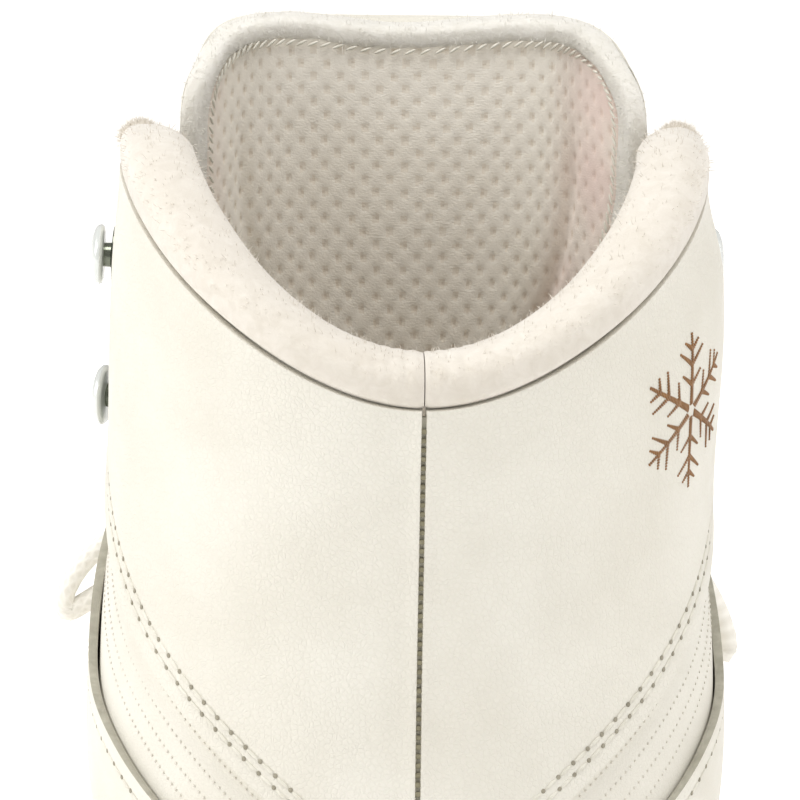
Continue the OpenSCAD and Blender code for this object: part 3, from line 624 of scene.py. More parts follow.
def sheet_grid(name, columns, rows, lay):
    """A flat grid whose points are laid by lay(p, t): p runs across and t runs down, 0 to 1."""
    bpy.ops.object.select_all(action="DESELECT")
    bpy.ops.mesh.primitive_grid_add(x_subdivisions=columns, y_subdivisions=rows, size=1)
    obj = bpy.context.object
    obj.name = name
    flat = np.empty(len(obj.data.vertices) * 3)
    obj.data.vertices.foreach_get("co", flat)
    flat = flat.reshape(-1, 3)
    p = np.clip(flat[:, 0] + 0.5, 0, 1)
    t = np.clip(0.5 - flat[:, 1], 0, 1)
    places = lay(p, t)
    obj.data.vertices.foreach_set("co", places.ravel())
    middle_row = places[np.abs(t - 0.5) < 0.5 / rows]
    middle_column = places[np.abs(p - 0.5) < 0.5 / columns]
    width = np.linalg.norm(np.diff(middle_row, axis=0), axis=1).sum()
    height = np.linalg.norm(np.diff(middle_column, axis=0), axis=1).sum()
    uv_size(obj, width, height)
    obj.data.update()
    return obj


def face_out(obj, towards):
    """Turns the sheet so that its normals point the same way as towards, a vector."""
    total = sum((f.normal * f.area for f in obj.data.polygons), Vector())
    if total.dot(Vector(towards)) < 0:
        obj.data.flip_normals()


def thicken(obj, thickness, materials, edge=0.3, offset=-1.0, inner=0):
    """Gives a sheet its thickness in mm, a rounded edge and its materials: skin, rim, inside."""
    for m in materials:
        obj.data.materials.append(m)
    solid = obj.modifiers.new("solid", "SOLIDIFY")
    solid.thickness = thickness / 1000
    solid.offset = offset
    solid.use_even_offset = True
    solid.material_offset_rim = 1 if len(materials) > 1 else 0
    solid.material_offset = inner
    if edge:
        bevel = obj.modifiers.new("edge", "BEVEL")
        bevel.width = edge / 1000
        bevel.segments = 2
        bevel.limit_method = "ANGLE"
        bevel.angle_limit = math.radians(60)
    apply_all(obj)
    smooth_under(obj, 50)


def finish_piece(obj, body, slot, *nodes):
    """The piece rides on its body and stands for its CAD nodes. The slot argument is not used."""
    if obj.name.endswith(".001"):
        obj.name = obj.name[:-4] + "_dressed"
    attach(obj, body)
    if nodes:
        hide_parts(*nodes)
    return obj


def outward(side, a=95, u=3.0):
    return last_normal(np.array(side * a, float), np.array(float(u)))


def groove(distance, width=0.9, depth=0.28):
    """The ditch that a row of stitches pulls into the leather, in mm."""
    return -depth * np.exp(-(distance / width) ** 2)


print("panel helpers ready")

# %% [markdown]
# ## Repeats
# Hundreds of stitches, needle holes, hooks and eyelets repeat one small shape. It is modelled
# once, and its points are copied to each place with their own position and turn.

# %% Copies
def copies(name, model, places, material):
    """One mesh of many copies. model is (points, faces); a place is a 4x4 matrix."""
    points, faces = model
    points = np.asarray(points, float)
    turns = np.array([np.array(m) for m in places])
    moved = np.einsum("kij,nj->kni", turns[:, :3, :3], points) + turns[:, None, :3, 3]
    n = len(points)
    every = [[i + k * n for i in f] for k in range(len(places)) for f in faces]
    data = bpy.data.meshes.new(name)
    data.from_pydata(moved.reshape(-1, 3).tolist(), [], every)
    data.polygons.foreach_set("use_smooth", [True] * len(data.polygons))
    data.materials.append(material)
    obj = bpy.data.objects.new(name, data)
    scene.collection.objects.link(obj)
    return obj


def shape(maker):
    """Points and faces of an object that maker adds with an operator; the object is removed."""
    bpy.ops.object.select_all(action="DESELECT")
    maker()
    obj = bpy.context.object
    apply_all(obj)
    points = [list(v.co) for v in obj.data.vertices]
    faces = [list(f.vertices) for f in obj.data.polygons]
    bpy.data.objects.remove(obj)
    return points, faces


def frames(points, normals, tangents):
    """Matrices with X along the tangent and Z along the normal, at each point."""
    t = tangents / np.linalg.norm(tangents, axis=1, keepdims=True)
    n = normals - (normals * t).sum(1, keepdims=True) * t
    n /= np.linalg.norm(n, axis=1, keepdims=True)
    b = np.cross(n, t)
    out = np.zeros((len(points), 4, 4))
    out[:, :3, 0] = t
    out[:, :3, 1] = b
    out[:, :3, 2] = n
    out[:, :3, 3] = points
    out[:, 3, 3] = 1
    return out


def spaced(line, pitch):
    """Angles and sections at equal steps in mm along a line of them; also the step's fraction."""
    line = np.asarray(line, float)
    places = at(line[:, 0], line[:, 1]) * 1000
    length = np.concatenate([[0], np.cumsum(np.linalg.norm(np.diff(places, axis=0), axis=1))])
    count = max(2, int(round(length[-1] / pitch)))
    where = (np.arange(count) + 0.5) / count * length[-1]
    return np.stack([np.interp(where, length, line[:, k]) for k in (0, 1)], 1), length[-1] / count


def bean(long, wide, tall, segments=8, rings=6):
    """A small smooth oblong, for a stitch or a hole."""
    def maker():
        bpy.ops.mesh.primitive_uv_sphere_add(segments=segments, ring_count=rings, radius=1)
        bpy.ops.transform.rotate(value=math.radians(90), orient_axis="Y", center_override=(0, 0, 0))
        bpy.ops.object.transform_apply(location=True, rotation=True, scale=True)
        bpy.ops.transform.resize(value=(long / 2000, wide / 2000, tall / 2000))
        bpy.ops.object.transform_apply(location=True, rotation=True, scale=True)
    return shape(maker)


def on_boot(line, pitch, d):
    """Places of a row of stitches along a line of [angle, section], d mm outside the last."""
    spots, step = spaced(line, pitch)
    a, u = spots[:, 0], spots[:, 1]
    here = at(a, u, d)
    normal = last_normal(a, u)
    fine, _ = spaced(line, pitch / 6)
    track = at(fine[:, 0], fine[:, 1], d)
    nearest = np.array([np.argmin(np.linalg.norm(track - x, axis=1)) for x in here])
    tangent = track[np.minimum(nearest + 1, len(track) - 1)] - track[np.maximum(nearest - 1, 0)]
    return frames(here, normal, tangent)


def up_frames(a, u, d):
    """Places on the boot whose X points up its shaft."""
    here = at(a, u, d)
    return frames(here, last_normal(a, u), at(a, u - 0.05, d) - at(a, u + 0.05, d))


def shift_along(places, distance):
    """The same places moved along their own X."""
    moved = places.copy()
    moved[:, :3, 3] += moved[:, :3, 0] * distance / 1000
    return moved


PITCH = 3.2
STITCH = bean(2.5, 0.62, 0.5)
HOLE = bean(0.75, 0.85, 0.35)


def seam_row(name, line, d, slot):
    """A row of lock stitches with a needle hole between each two; returns their number."""
    places = on_boot(line, PITCH, d)
    stitches = copies(name, STITCH, places, thread_pale)
    finish_piece(stitches, SKATE, slot)
    # The needle holes are small lumps in a darker colour: painted shade in the holes.
    holes = copies(name + "_holes", HOLE, shift_along(places, PITCH / 2), needle_hole)
    finish_piece(holes, SKATE, slot)
    return len(places)


print("stitch faces:", len(STITCH[1]), "hole faces:", len(HOLE[1]))

# %% [markdown]
# ## Quarters
# The quarters are the main leather of the shaft and the middle of the foot, one on each side.
# They meet in the back seam and leave a gap in front for the tongue. Below the cuff their leather
# shows as a band, with faint arcs pressed into it by the mesh behind. The eyelets sit in holes
# that are cut with a boolean, because a ring laid on whole leather would look painted on.

# %% Quarters
EYELET_PLACES = [(float(front_edge(u)) + 9 - 0.3 * i, u) for i, u in enumerate(EYELETS)]


def cut_eyelets(obj, side):
    """Cuts the six eyelet holes out of a panel."""
    tools = []
    for a, u in EYELET_PLACES:
        bpy.ops.object.select_all(action="DESELECT")
        out = Vector(last_normal(np.array(side * a), np.array(u)))
        bpy.ops.mesh.primitive_cylinder_add(vertices=24, radius=0.0025, depth=0.012,
                                            location=tuple(at(side * a, u)),
                                            rotation=out.to_track_quat("Z", "Y").to_euler())
        tools.append(bpy.context.object)
    bpy.ops.object.select_all(action="DESELECT")
    for tool in tools:
        tool.select_set(True)
    bpy.context.view_layer.objects.active = tools[0]
    bpy.ops.object.join()
    tool = bpy.context.object
    cut = obj.modifiers.new("eyelets", "BOOLEAN")
    cut.object = tool
    cut.solver = "EXACT"
    apply_all(obj)
    bpy.data.objects.remove(tool)


def quarter_waves(a, u, side):
    return 0.16 * ripple(a, u, 15, 1.0 if side > 0 else 3.0)


def quarter(side, word):
    def lay(p, t):
        u = mix(top_u(p) + 0.01, throat_u(p) - 0.05, t)
        a = side_angle(p, u) - 0.35 * (p > 0.999)
        return at(side * a, u, quarter_waves(a, u, side) - 0.08)
    obj = sheet_grid("quarter_" + word, 96, 150, lay)
    face_out(obj, outward(side))
    thicken(obj, 1.7, [white_leather, white_leather, flesh_side], 0.35, inner=2)
    cut_eyelets(obj, side)
    smooth_under(obj, 50)
    return finish_piece(obj, SKATE, "upper_leather", "quarter_" + word)


for side, word in SIDES:
    print(word, "quarter faces:", len(quarter(side, word).data.polygons))

# %% [markdown]
# ## Cuff
# The cuff is a second layer round the top of the shaft. Two rows of stitches hold its lower edge,
# and they pull two ditches into it with a little swell of leather between them. At the back its
# two halves are butted together, and each edge stands up as a small lip beside the seam.

# %% Cuff
ROWS = (0.115, 0.185)


def back_lip(a):
    """1 at the edge beside the back seam, and nothing a few millimetres from it."""
    return np.exp(-((179.4 - a) * 0.8) ** 2)


def fulness(a, u):
    """The padding behind swells the cuff below the collar, more on the right."""
    low = u - seam_u(a)
    size = np.where(a > 0, 2.5, 1.1)
    return size * ease(low / 0.55) * ease((3.3 - u) / 1.4) * np.exp(-((np.abs(a) - 98) / 34) ** 2)


def cuff(side, word):
    def lay(p, t):
        low = cuff_low(p)
        u = mix(top_u(p) + 0.01, low, t)
        a = mix(front_edge(u), BACK_EDGE, p)
        below = (low - u) * SECTION
        relief = sum(groove(below - row * SECTION, 0.75, 0.26) for row in ROWS)
        relief += 0.14 * np.exp(-((below - 4.2) / 0.8) ** 2) + 0.32 * back_lip(a)
        relief += groove((a - front_edge(u)) * 0.75 - 3.2, 0.8, 0.2)
        relief += 0.13 * ripple(a, u, 13, 5.0 if side > 0 else 2.0) * ease(below / 8)
        return at(side * a, u, 1.6 + relief + fulness(side * a, u))
    obj = sheet_grid("cuff_" + word, 140, 110, lay)
    face_out(obj, outward(side))
    thicken(obj, 1.35, [cuff_leather], 0.4)
    return finish_piece(obj, SKATE, "cuff_leather", "cuff_" + word)


for side, word in SIDES:
    cuff(side, word)
    p = np.linspace(0.03, 0.985, 200)
    for number, row in enumerate(ROWS):
        u = cuff_low(p) - row
        a = mix(front_edge(u), BACK_EDGE, p)
        count = seam_row(f"cuff_stitch_{word}_{number}", np.stack([side * a, u], 1), 1.42, "cuff_leather")
    u = np.linspace(1.45, 3.0, 60)
    seam_row(f"facing_stitch_{word}", np.stack([side * (front_edge(u) + 4.2), u], 1), 1.46, "cuff_leather")
    print(word, "cuff: stitches in a row", count)

# %% [markdown]
# The band of quarter leather below the cuff is embossed with a few arced rows of tiny dots. Each
# dot is a tiny lump in a darker colour, painted shade of a pressed dimple.

# %% Embossed dots
DOT = bean(0.45, 0.45, 0.24, 6, 4)
for side, word in SIDES:
    spots = []
    for k in range(4):
        p = np.linspace(0.2, 0.95, 120)
        u = cuff_low(p) + 0.06 + 0.15 * k
        a = mix(front_edge(u), 179.0, p)
        line, _ = spaced(np.stack([a, u], 1), 1.25)
        rim = np.interp(line[:, 0], OVERLAY_HIGH[6::-1, 0], OVERLAY_HIGH[6::-1, 1])
        spots.append(line[line[:, 1] < rim - 0.06])
    spots = np.concatenate(spots)
    a, u = side * spots[:, 0], spots[:, 1]
    relief = quarter_waves(a, u, side) - 0.02
    dots = copies("embossed_dots_" + word, DOT, up_frames(a, u, relief), cut_edge_pale)
    finish_piece(dots, SKATE, "upper_leather")
    print(word, "dots:", len(spots))

# %% [markdown]
# ## Overlay
# A third piece wraps the heel and the ankle and runs forward beside the eyelets down to the sole.
# It is cut thick and left raw. Its upper edge is painted grey, partly as the raw edge's own
# colour and partly as painted shade where the edge faces away from the light, with one row of
# stitches just inside.

# %% Overlay
def overlay_line(p, t):
    """Angle and section on the overlay: p from the toe (0) to the back (1), t from its upper edge."""
    v = 10 * (1 - p)
    w = mix(along(OVERLAY_HIGH, v), along(OVERLAY_LOW, v), np.asarray(t)[..., None])
    return np.minimum(w[..., 0], BACK_EDGE), w[..., 1]


def overlay(side, word):
    def lay(p, t):
        a, u = overlay_line(p, t)
        rim_a, rim_u = overlay_line(p, np.zeros_like(t))
        gap = np.linalg.norm(at(a, u) - at(rim_a, rim_u), axis=-1) * 1000
        relief = groove(gap - 3.0, 0.75, 0.24) + 0.1 * np.exp(-((gap - 1.3) / 0.8) ** 2)
        relief += 0.13 * ripple(a, u, 16, 7.0 if side > 0 else 4.0) * ease(gap / 8)
        relief += 0.25 * back_lip(a)
        return at(side * a, u, 1.62 + relief)
    obj = sheet_grid("overlay_" + word, 170, 60, lay)
    face_out(obj, outward(side, 120, 6.5))
    thicken(obj, 1.4, [white_leather, cut_edge], 0.2)
    cut_eyelets(obj, side)
    smooth_under(obj, 50)
    return finish_piece(obj, SKATE, "overlay_leather", "overlay_" + word)


for side, word in SIDES:
    overlay(side, word)
    p = np.linspace(0.05, 0.99, 260)
    a, u = overlay_line(p, np.zeros_like(p))
    b, w = overlay_line(p, np.full_like(p, 0.12))
    reach = np.linalg.norm(at(b, w) - at(a, u), axis=-1) * 1000
    a, u = overlay_line(p, 3.0 / np.maximum(reach, 1) * 0.12)
    count = seam_row("overlay_stitch_" + word, np.stack([side * a, u], 1), 1.44, "overlay_leather")
    print(word, "overlay stitches:", count)

# %% [markdown]
# ## Back seam
# The two halves of the shaft are drawn together down the back. The strip between them is
# painted grey, as painted shade in the groove between the halves, and it is sewn through every
# couple of millimetres, so it looks like a fine zip of small threads.

# %% Back seam
def seam_thread():
    u = np.linspace(float(seam_u(np.array(180.0))) + 0.1, 5.3, 60)
    line = np.stack([np.full_like(u, 180.0), u], 1)
    places = on_boot(line, 1.5, 1.35)
    turned = places.copy()
    turned[:, :3, 0] = places[:, :3, 1]
    turned[:, :3, 1] = -places[:, :3, 0]
    stitches = copies("seam_thread", bean(1.7, 0.85, 0.6), turned, thread_grey)
    finish_piece(stitches, SKATE, "seam_strip")
    return len(places)


print("threads across the back seam:", seam_thread())

# %% [markdown]
# ## Padded collar
# A soft roll of suede over foam closes the top edge of the shaft. It is built as rings that are
# swept along the edge, fuller at the back and slim at the front, with a rounded tip. Small
# puckers gather towards the join at the back, where the two halves meet.

# %% Collar
TIP_ANGLE = 60.5


def close_ends(obj, join=0.00002):
    """Joins a tube's seam, where points are nearer than join in metres, and closes its ends."""
    only(obj)
    bpy.ops.object.mode_set(mode="EDIT")
    bpy.ops.mesh.select_all(action="SELECT")
    bpy.ops.mesh.remove_doubles(threshold=join)
    bpy.ops.mesh.select_all(action="DESELECT")
    bpy.ops.mesh.select_mode(type="EDGE")
    bpy.ops.mesh.select_non_manifold()
    bpy.ops.mesh.edge_face_add()
    bpy.ops.mesh.select_all(action="SELECT")
    bpy.ops.mesh.normals_make_consistent(inside=False)
    bpy.ops.object.mode_set(mode="OBJECT")


def collar_ring(a, side, q, tip):
    """Points round the roll at an angle, q in degrees; tip shrinks the ring near its end."""
    full = ease((a - TIP_ANGLE) / 34)
    centre_d = mix(-1.0, -4.0, full)
    half_w = mix(2.7, 5.7, full) * tip
    tall = 7.7 * mix(0.8, 1, ease((a - TIP_ANGLE) / 25))
    c, s = np.cos(np.radians(q)), np.sin(np.radians(q))
    power = np.where(s < 0, 5.0, 2.2)
    r = (np.abs(c) ** power + np.abs(s) ** power) ** (-1 / power)
    near_back = np.exp(-((180 - a) / 13) ** 2)
    pucker = 1 + 0.022 * near_back * np.sin(a * 2.1 + 1.3 * side) * np.clip(s + 0.4, 0, 1)
    pucker = pucker + 0.018 * ripple(a, 0.5 * s + 0.3 * c, 9, 3.0 + side)
    pucker = pucker - 0.05 * np.exp(-((180 - a) / 0.7) ** 2)
    u = seam_u(a)
    flat = at(side * a, u, centre_d + half_w * r * c * pucker)
    base = at(side * a, u, 0.0)[..., 2] - 0.0004
    shrink = np.where(s > 0, mix(0.3, 1, tip), mix(0.82, 1, tip))
    z = base + tall / 2000 * (1 + r * s * pucker * shrink)
    return np.stack([flat[..., 0], flat[..., 1], z], -1)


def round_tip(start):
    """The size of a ring, where start runs from 0 at the very tip to 1 where it is full."""
    start = np.clip(start, 0, 1)
    return np.sqrt(np.clip(1 - (1 - start) ** 2, 0.0025, 1))


def collar(side, word):
    def lay(p, t):
        return collar_ring(mix(TIP_ANGLE, 179.9, t), side, 360 * p, round_tip(t / 0.06))
    obj = sheet_grid("collar_" + word, 36, 190, lay)
    close_ends(obj, 0.00003)
    obj.data.materials.append(suede)
    smooth_under(obj, 60)
    finish_piece(obj, SKATE, "collar_suede", "collar_" + word)


def fuzz(name, place, count, long, body, slot, seed, material):
    """Short loose fibres standing on a surface; place(random numbers) gives points and normals."""
    rng = np.random.default_rng(seed)
    points, normals = place(rng, count)
    sway = rng.normal(0, 0.55, (count, 3))
    size = rng.uniform(0.5, 1.0, count) * long / 1000
    tips = points + (normals + sway) * size[:, None]
    bend = points + (normals + sway * 0.3) * size[:, None] * 0.55
    root = points - normals * 0.0002
    thick = 0.000045
    side_way = np.cross(normals, rng.normal(0, 1, (count, 3)))
    side_way *= thick / np.maximum(np.linalg.norm(side_way, axis=1, keepdims=True), 1e-6)
    other = np.cross(normals, side_way)
    corners = (side_way, other - side_way * 0.5, -other - side_way * 0.5)
    rows = [root + corner for corner in corners] + [bend + corner for corner in corners] + [tips]
    vertices = np.stack(rows, 1).reshape(-1, 3)
    model = [[0, 1, 4, 3], [1, 2, 5, 4], [2, 0, 3, 5], [3, 4, 6], [4, 5, 6], [5, 3, 6], [0, 2, 1]]
    faces = [[i + 7 * k for i in f] for k in range(count) for f in model]
    data = bpy.data.meshes.new(name)
    data.from_pydata(vertices.tolist(), [], faces)
    data.materials.append(material)
    obj = bpy.data.objects.new(name, data)
    scene.collection.objects.link(obj)
    only(obj)
    bpy.ops.object.mode_set(mode="EDIT")
    bpy.ops.mesh.select_all(action="SELECT")
    bpy.ops.mesh.normals_make_consistent(inside=False)
    bpy.ops.object.mode_set(mode="OBJECT")
    return finish_piece(obj, body, slot)


def on_collar(side):
    def place(rng, count):
        a = np.where(rng.random(count) < 0.55, rng.uniform(60.9, 71, count), rng.uniform(62, 179, count))
        q = rng.uniform(5, 200, count)
        tip = round_tip((a - TIP_ANGLE) / 7.16)
        here = collar_ring(a, side, q, tip)
        mid = (here + collar_ring(a, side, q + 180, tip)) / 2
        out = here - mid
        out[:, 2] *= 1.5
        return here, out / np.linalg.norm(out, axis=1, keepdims=True)
    return place


for side, word in SIDES:
    collar(side, word)
    fuzz("collar_fuzz_" + word, on_collar(side), 1700, 0.85, SKATE, "collar_suede", 11 + side, suede)
    print(word, "collar ready")

# %% [markdown]
# ## Ankle linings
# The inside of the shaft is faced with a mesh cloth over the ankle foam.

# %% Linings
for side, word in SIDES:
    def lay(p, t, side=side):
        a = mix(78, 178.8, p)
        u = mix(seam_u(a) + 0.12, 6.0, t)
        return at(side * a, u, -5.8 + 0.15 * ripple(a, u, 12, 8.0))
    lining = sheet_grid("ankle_lining_" + word, 70, 70, lay)
    face_out(lining, outward(side))
    thicken(lining, 0.8, [mesh_cloth], 0.2)
    finish_piece(lining, SKATE, "lining_mesh", "ankle_lining_" + word)
    print(word, "lining ready")

# %% [markdown]
# ## Tongue
# The tongue is leather outside and mesh inside with foam between, and a felt binding is sewn
# round its edge. It is one flat tube along the boot, thin above and thick below. The lining,
# foam and binding of its upper part ride on the tongue's body.

# %% Tongue leather
HINGE_U = 3.45
TOP_DIP = 0.075
TOP_U = 1.4
TOP_RISE = 0.73
CORNER = 3.4
ROUND = 34


def tongue_half(u, c=0.0):
    """Half the tongue's width in degrees; worn boots spread it a little more to the right."""
    return along(TONGUE_EDGE, u) + mix(1.2, 4.6, ease(c * 2 + 0.5)) * ease((2.9 - u) / 1.3)


def tongue_top(c, trim=0.0):
    """The section of the tongue's upper edge, trim mm in: round corners and a dip between."""
    corner = TOP_U - TOP_RISE * (1 - np.minimum(np.abs(c), 1) ** CORNER) ** (1 / CORNER)
    return corner + 0.035 * trim + TOP_DIP * np.exp(-(c / 0.32) ** 2)


def wing(c, u):
    """How far a wing curls in, in mm: it folds away from the middle, and its rim flares out."""
    high = ease((3.2 - u) / 0.8)
    curl = high * 1.6 * ease((np.abs(c) - 0.6) / 0.3)
    flare = np.where(c > 0, 2.6, 1.4) * ease((np.abs(c) - 0.55) / 0.45) * ease((2.5 - u) / 1.0)
    return curl - flare - 1.2 * high * ease((np.abs(c) - 0.85) / 0.15)


def thin(c):
    """The foam thins out towards the wings' rims: 0 in the middle, 1 at the rim."""
    return ease((np.abs(c) - 0.45) / 0.5)


def signed_power(x, power):
    return np.sign(x) * np.abs(x) ** power


def tongue_leather():
    def lay(p, t):
        ring = 2 * np.pi * p
        c = signed_power(-np.cos(ring), 0.9)
        face = signed_power(np.sin(ring), 0.35)
        u = mix(tongue_top(c, 0.4), 10.9, t ** 0.95)
        below = ease((u - HINGE_U) / 0.4)
        thick = mix(1.25, 5.4, below)
        trim = mix(0.6, 0.0, below)
        a = c * (tongue_half(u, c) - trim)
        d = -7.5 - thick / 2 + face * thick / 2 - wing(c, u) * (u < HINGE_U)
        return at(a, u, d + 0.12 * ripple(a * 1.3, u, 14, 6.0))
    obj = sheet_grid("tongue_leather", 88, 150, lay)
    close_ends(obj)
    obj.data.materials.append(white_leather)
    obj.data.materials.append(mesh_cloth)
    boot_out = Vector(last_normal(np.array(0.0), np.array(5.0)))
    for face in obj.data.polygons:
        if face.normal.dot(boot_out) < -0.3:
            face.material_index = 1
    smooth_under(obj, 50)
    return obj


leather = tongue_leather()
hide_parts("tongue_cover", "tongue_base")
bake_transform(leather)
print("tongue leather faces:", len(leather.data.polygons))

# %% [markdown]
# ## Tongue lining
# Inside, a spacer mesh faces the foam. Its pits are pressed into the sheet itself, because a
# close view shows their depth. The sheet folds softly where the wings leave the middle.

# %% Tongue lining
def pits_at(x, y, across=3.3, down=2.1):
    """Depth, 0 to 1, of the staggered long pits at x, y in mm; every other row is moved."""
    row = np.floor(y / down)
    near = np.zeros_like(x)
    for k in (-1, 0, 1):
        r = row + k
        shift = np.where(np.mod(r, 2) > 0.5, across / 2, 0)
        column = np.round((x - shift) / across)
        jitter = 0.12 * np.sin(r * 12.9 + column * 78.2)
        dx = x - shift - column * across - jitter
        dy = y - (r + 0.5) * down - jitter
        near = np.maximum(near, np.exp(-(dx / 0.36) ** 2 - (dy / 0.85) ** 2))
    return near


def tongue_lining():
    def lay(p, t):
        c = np.sin(np.pi * (p - 0.5))
        u = mix(tongue_top(c, 1.6), HINGE_U - 0.06, t)
        a = c * (tongue_half(u, c) - 1.3)
        pit = pits_at(np.radians(a) * ROUND, u * SECTION)
        pit_depth.append(pit)
        fold = np.exp(-((np.abs(c) - 0.66) / 0.04) ** 2) * ease((u - 1.1) / 0.6)
        soft = 0.35 * ripple(a, u, 17, 9.0) * ease((u - 0.8) / 0.6)
        return at(a, u, -14.05 + 3.7 * thin(c) - wing(c, u) + fold + soft + 0.24 * pit)
    pit_depth = []
    obj = sheet_grid("tongue_lining", 250, 270, lay)
    face_out(obj, (0, -1, 0))
    for finish in (tongue_mesh, mesh_pit_edge, mesh_pit):
        obj.data.materials.append(finish)
    # Faces deep in a pit, and those round it, take the darker materials as painted shade.
    for face in obj.data.polygons:
        deep = sum(pit_depth[0][k] for k in face.vertices) / len(face.vertices)
        face.material_index = 2 if deep > 0.62 else 1 if deep > 0.3 else 0
    only(obj)
    bpy.ops.object.shade_smooth()
    return finish_piece(obj, TONGUE, "tongue_mesh", "tongue_lining")


lining = tongue_lining()
print("tongue lining faces:", len(lining.data.polygons))

# %% [markdown]
# ## Tongue foam
# The foam between cover and lining is thick in the middle and thins out towards the wings.

# %% Tongue foam
def tongue_foam():
    def lay(p, t):
        ring = 2 * np.pi * p
        c = -np.cos(ring)
        face = signed_power(np.sin(ring), 0.4)
        u = mix(tongue_top(c, 4.0), HINGE_U - 0.04, t)
        a = c * (tongue_half(u, c) - 4.0)
        low = -12.5 + 3.2 * thin(c)
        return at(a, u, mix(low, -8.95, (face + 1) / 2) - wing(c, u))
    obj = sheet_grid("tongue_padding", 60, 50, lay)
    close_ends(obj)
    obj.data.materials.append(foam)
    finish_piece(obj, TONGUE, "foam", "tongue_foam")
    return obj


print("foam faces:", len(tongue_foam().data.polygons))

# %% [markdown]
# ## Tongue binding
# A folded strip of felt closes the tongue's raw edge. It is a flat tube swept round the edge, and
# whip stitches sew its inner edge to the mesh. Loose fibres stand on it, as on any worn felt.

# %% Tongue binding
def edge_line(count=400):
    """The tongue's edge as x, y in mm on the last, the way in from it, and its length."""
    leg = np.linspace(HINGE_U - 0.06, TOP_U, 60)
    turn = np.linspace(-90, 90, 400)
    c = signed_power(np.sin(np.radians(turn)), 2 / CORNER)
    w = np.abs(np.cos(np.radians(turn))) ** (2 / CORNER)
    top = TOP_U - TOP_RISE * w + TOP_DIP * np.exp(-(c / 0.32) ** 2)
    a = np.concatenate([-tongue_half(leg, -1.0)[:-1], c * tongue_half(top, c),
                        tongue_half(leg[::-1], 1.0)[1:]])
    u = np.concatenate([leg[:-1], top, leg[::-1][1:]])
    xy = np.stack([np.radians(a) * ROUND, u * SECTION], 1)
    length = np.concatenate([[0], np.cumsum(np.linalg.norm(np.diff(xy, axis=0), axis=1))])
    even = np.linspace(0, length[-1], count)
    xy = np.stack([np.interp(even, length, xy[:, k]) for k in (0, 1)], 1)
    run = np.gradient(xy, axis=0)
    run /= np.linalg.norm(run, axis=1, keepdims=True)
    inward = np.stack([-run[:, 1], run[:, 0]], 1)
    if inward[count // 2][1] < 0:
        inward = -inward
    return xy, inward, length[-1]


EDGE_XY, EDGE_IN, EDGE_LONG = edge_line()


def on_edge(s, trim=0.0):
    """Angle and section of a place s (0 to 1) along the tongue's edge, trim mm in from it."""
    k = np.clip(s, 0, 1) * (len(EDGE_XY) - 1)
    every = np.arange(len(EDGE_XY))
    x, y = [np.interp(k, every, EDGE_XY[:, i]) + trim * np.interp(k, every, EDGE_IN[:, i])
            for i in (0, 1)]
    return np.degrees(x / ROUND), y / SECTION


def edge_place(s, trim, d):
    """The same place, d mm off the last, with its angle and section."""
    a, u = on_edge(s, trim)
    return at(a, u, d - wing(a / tongue_half(u, np.sign(a)), u)), a, u


def slimness(s):
    """0 where the foam behind the edge is thick, and 1 where it is thin."""
    a, u = on_edge(s)
    return thin(np.clip(a / tongue_half(u, np.sign(a)), -1, 1))


def binding_ring(p, s):
    q = 2 * np.pi * p
    c, w = np.cos(q), np.sin(q)
    r = (np.abs(c) ** 3.2 + np.abs(w) ** 3.2) ** (-1 / 3.2)
    lump = 1 + 0.035 * np.sin(s * 160 + 3 * np.sin(s * 31)) + 0.03 * np.sin(s * 71 + q)
    trim = 1.75 + 1.75 * r * c * lump
    slim = slimness(s)
    d = mix(-11.3, -9.3, slim) + mix(3.3, 1.75, slim) * r * w * lump
    return edge_place(s, trim, d)[0]


def tongue_binding():
    obj = sheet_grid("tongue_binding", 26, 360, binding_ring)
    close_ends(obj, 0.00003)
    obj.data.materials.append(felt)
    smooth_under(obj, 60)
    return finish_piece(obj, TONGUE, "tongue_felt", "tongue_binding")


def whip_row():
    count = int(EDGE_LONG / 1.7)
    s = (np.arange(count) + 0.5) / count
    slim = slimness(s)
    here, a, u = edge_place(s, 3.5, mix(-14.6, -11.1, slim))
    far, _, _ = edge_place(s + 0.006, 2.7, mix(-14.75, -11.2, slim))
    normal = -last_normal(a, u)
    places = frames(here, normal, far - here)
    stitches = copies("binding_stitches", bean(2.0, 0.5, 0.45), places, thread_pale)
    finish_piece(stitches, TONGUE, "tongue_felt")
    return count


def on_binding(rng, count):
    s = rng.uniform(0.02, 0.98, count)
    p = rng.uniform(0.3, 1.1, count)
    here = binding_ring(p, s)
    out = (here - binding_ring(p + 0.5, s)) / 2
    return here, out / np.linalg.norm(out, axis=1, keepdims=True)


tongue_binding()
print("whip stitches:", whip_row())
fuzz("binding_fuzz", on_binding, 2600, 0.85, TONGUE, "tongue_felt", 5, felt)

# %% [markdown]
# ## Hooks and eyelets
# Both are small turned parts, so each is a profile spun round its axis. A hook has a flat base, a
# thin neck and a domed head behind which the lace is caught. The profiles are modelled once.

# %% Hooks and eyelets
def lathe(profile, segments=40):
    """Points and faces of a profile of [radius, height] in mm, spun round Z."""
    profile = np.array(profile, float) / 1000

    def maker():
        bpy.ops.mesh.primitive_grid_add(x_subdivisions=segments, y_subdivisions=len(profile) - 1, size=1)
        obj = bpy.context.object
        for v in obj.data.vertices:
            turn = 2 * math.pi * (v.co.x + 0.5)
            r, z = profile[int(round((0.5 - v.co.y) * (len(profile) - 1)))]
            v.co = (r * math.cos(turn), r * math.sin(turn), z)
        bpy.ops.object.mode_set(mode="EDIT")
        bpy.ops.mesh.select_all(action="SELECT")
        bpy.ops.mesh.remove_doubles(threshold=0.000005)
        bpy.ops.mesh.normals_make_consistent(inside=False)
        bpy.ops.object.mode_set(mode="OBJECT")
    return shape(maker)


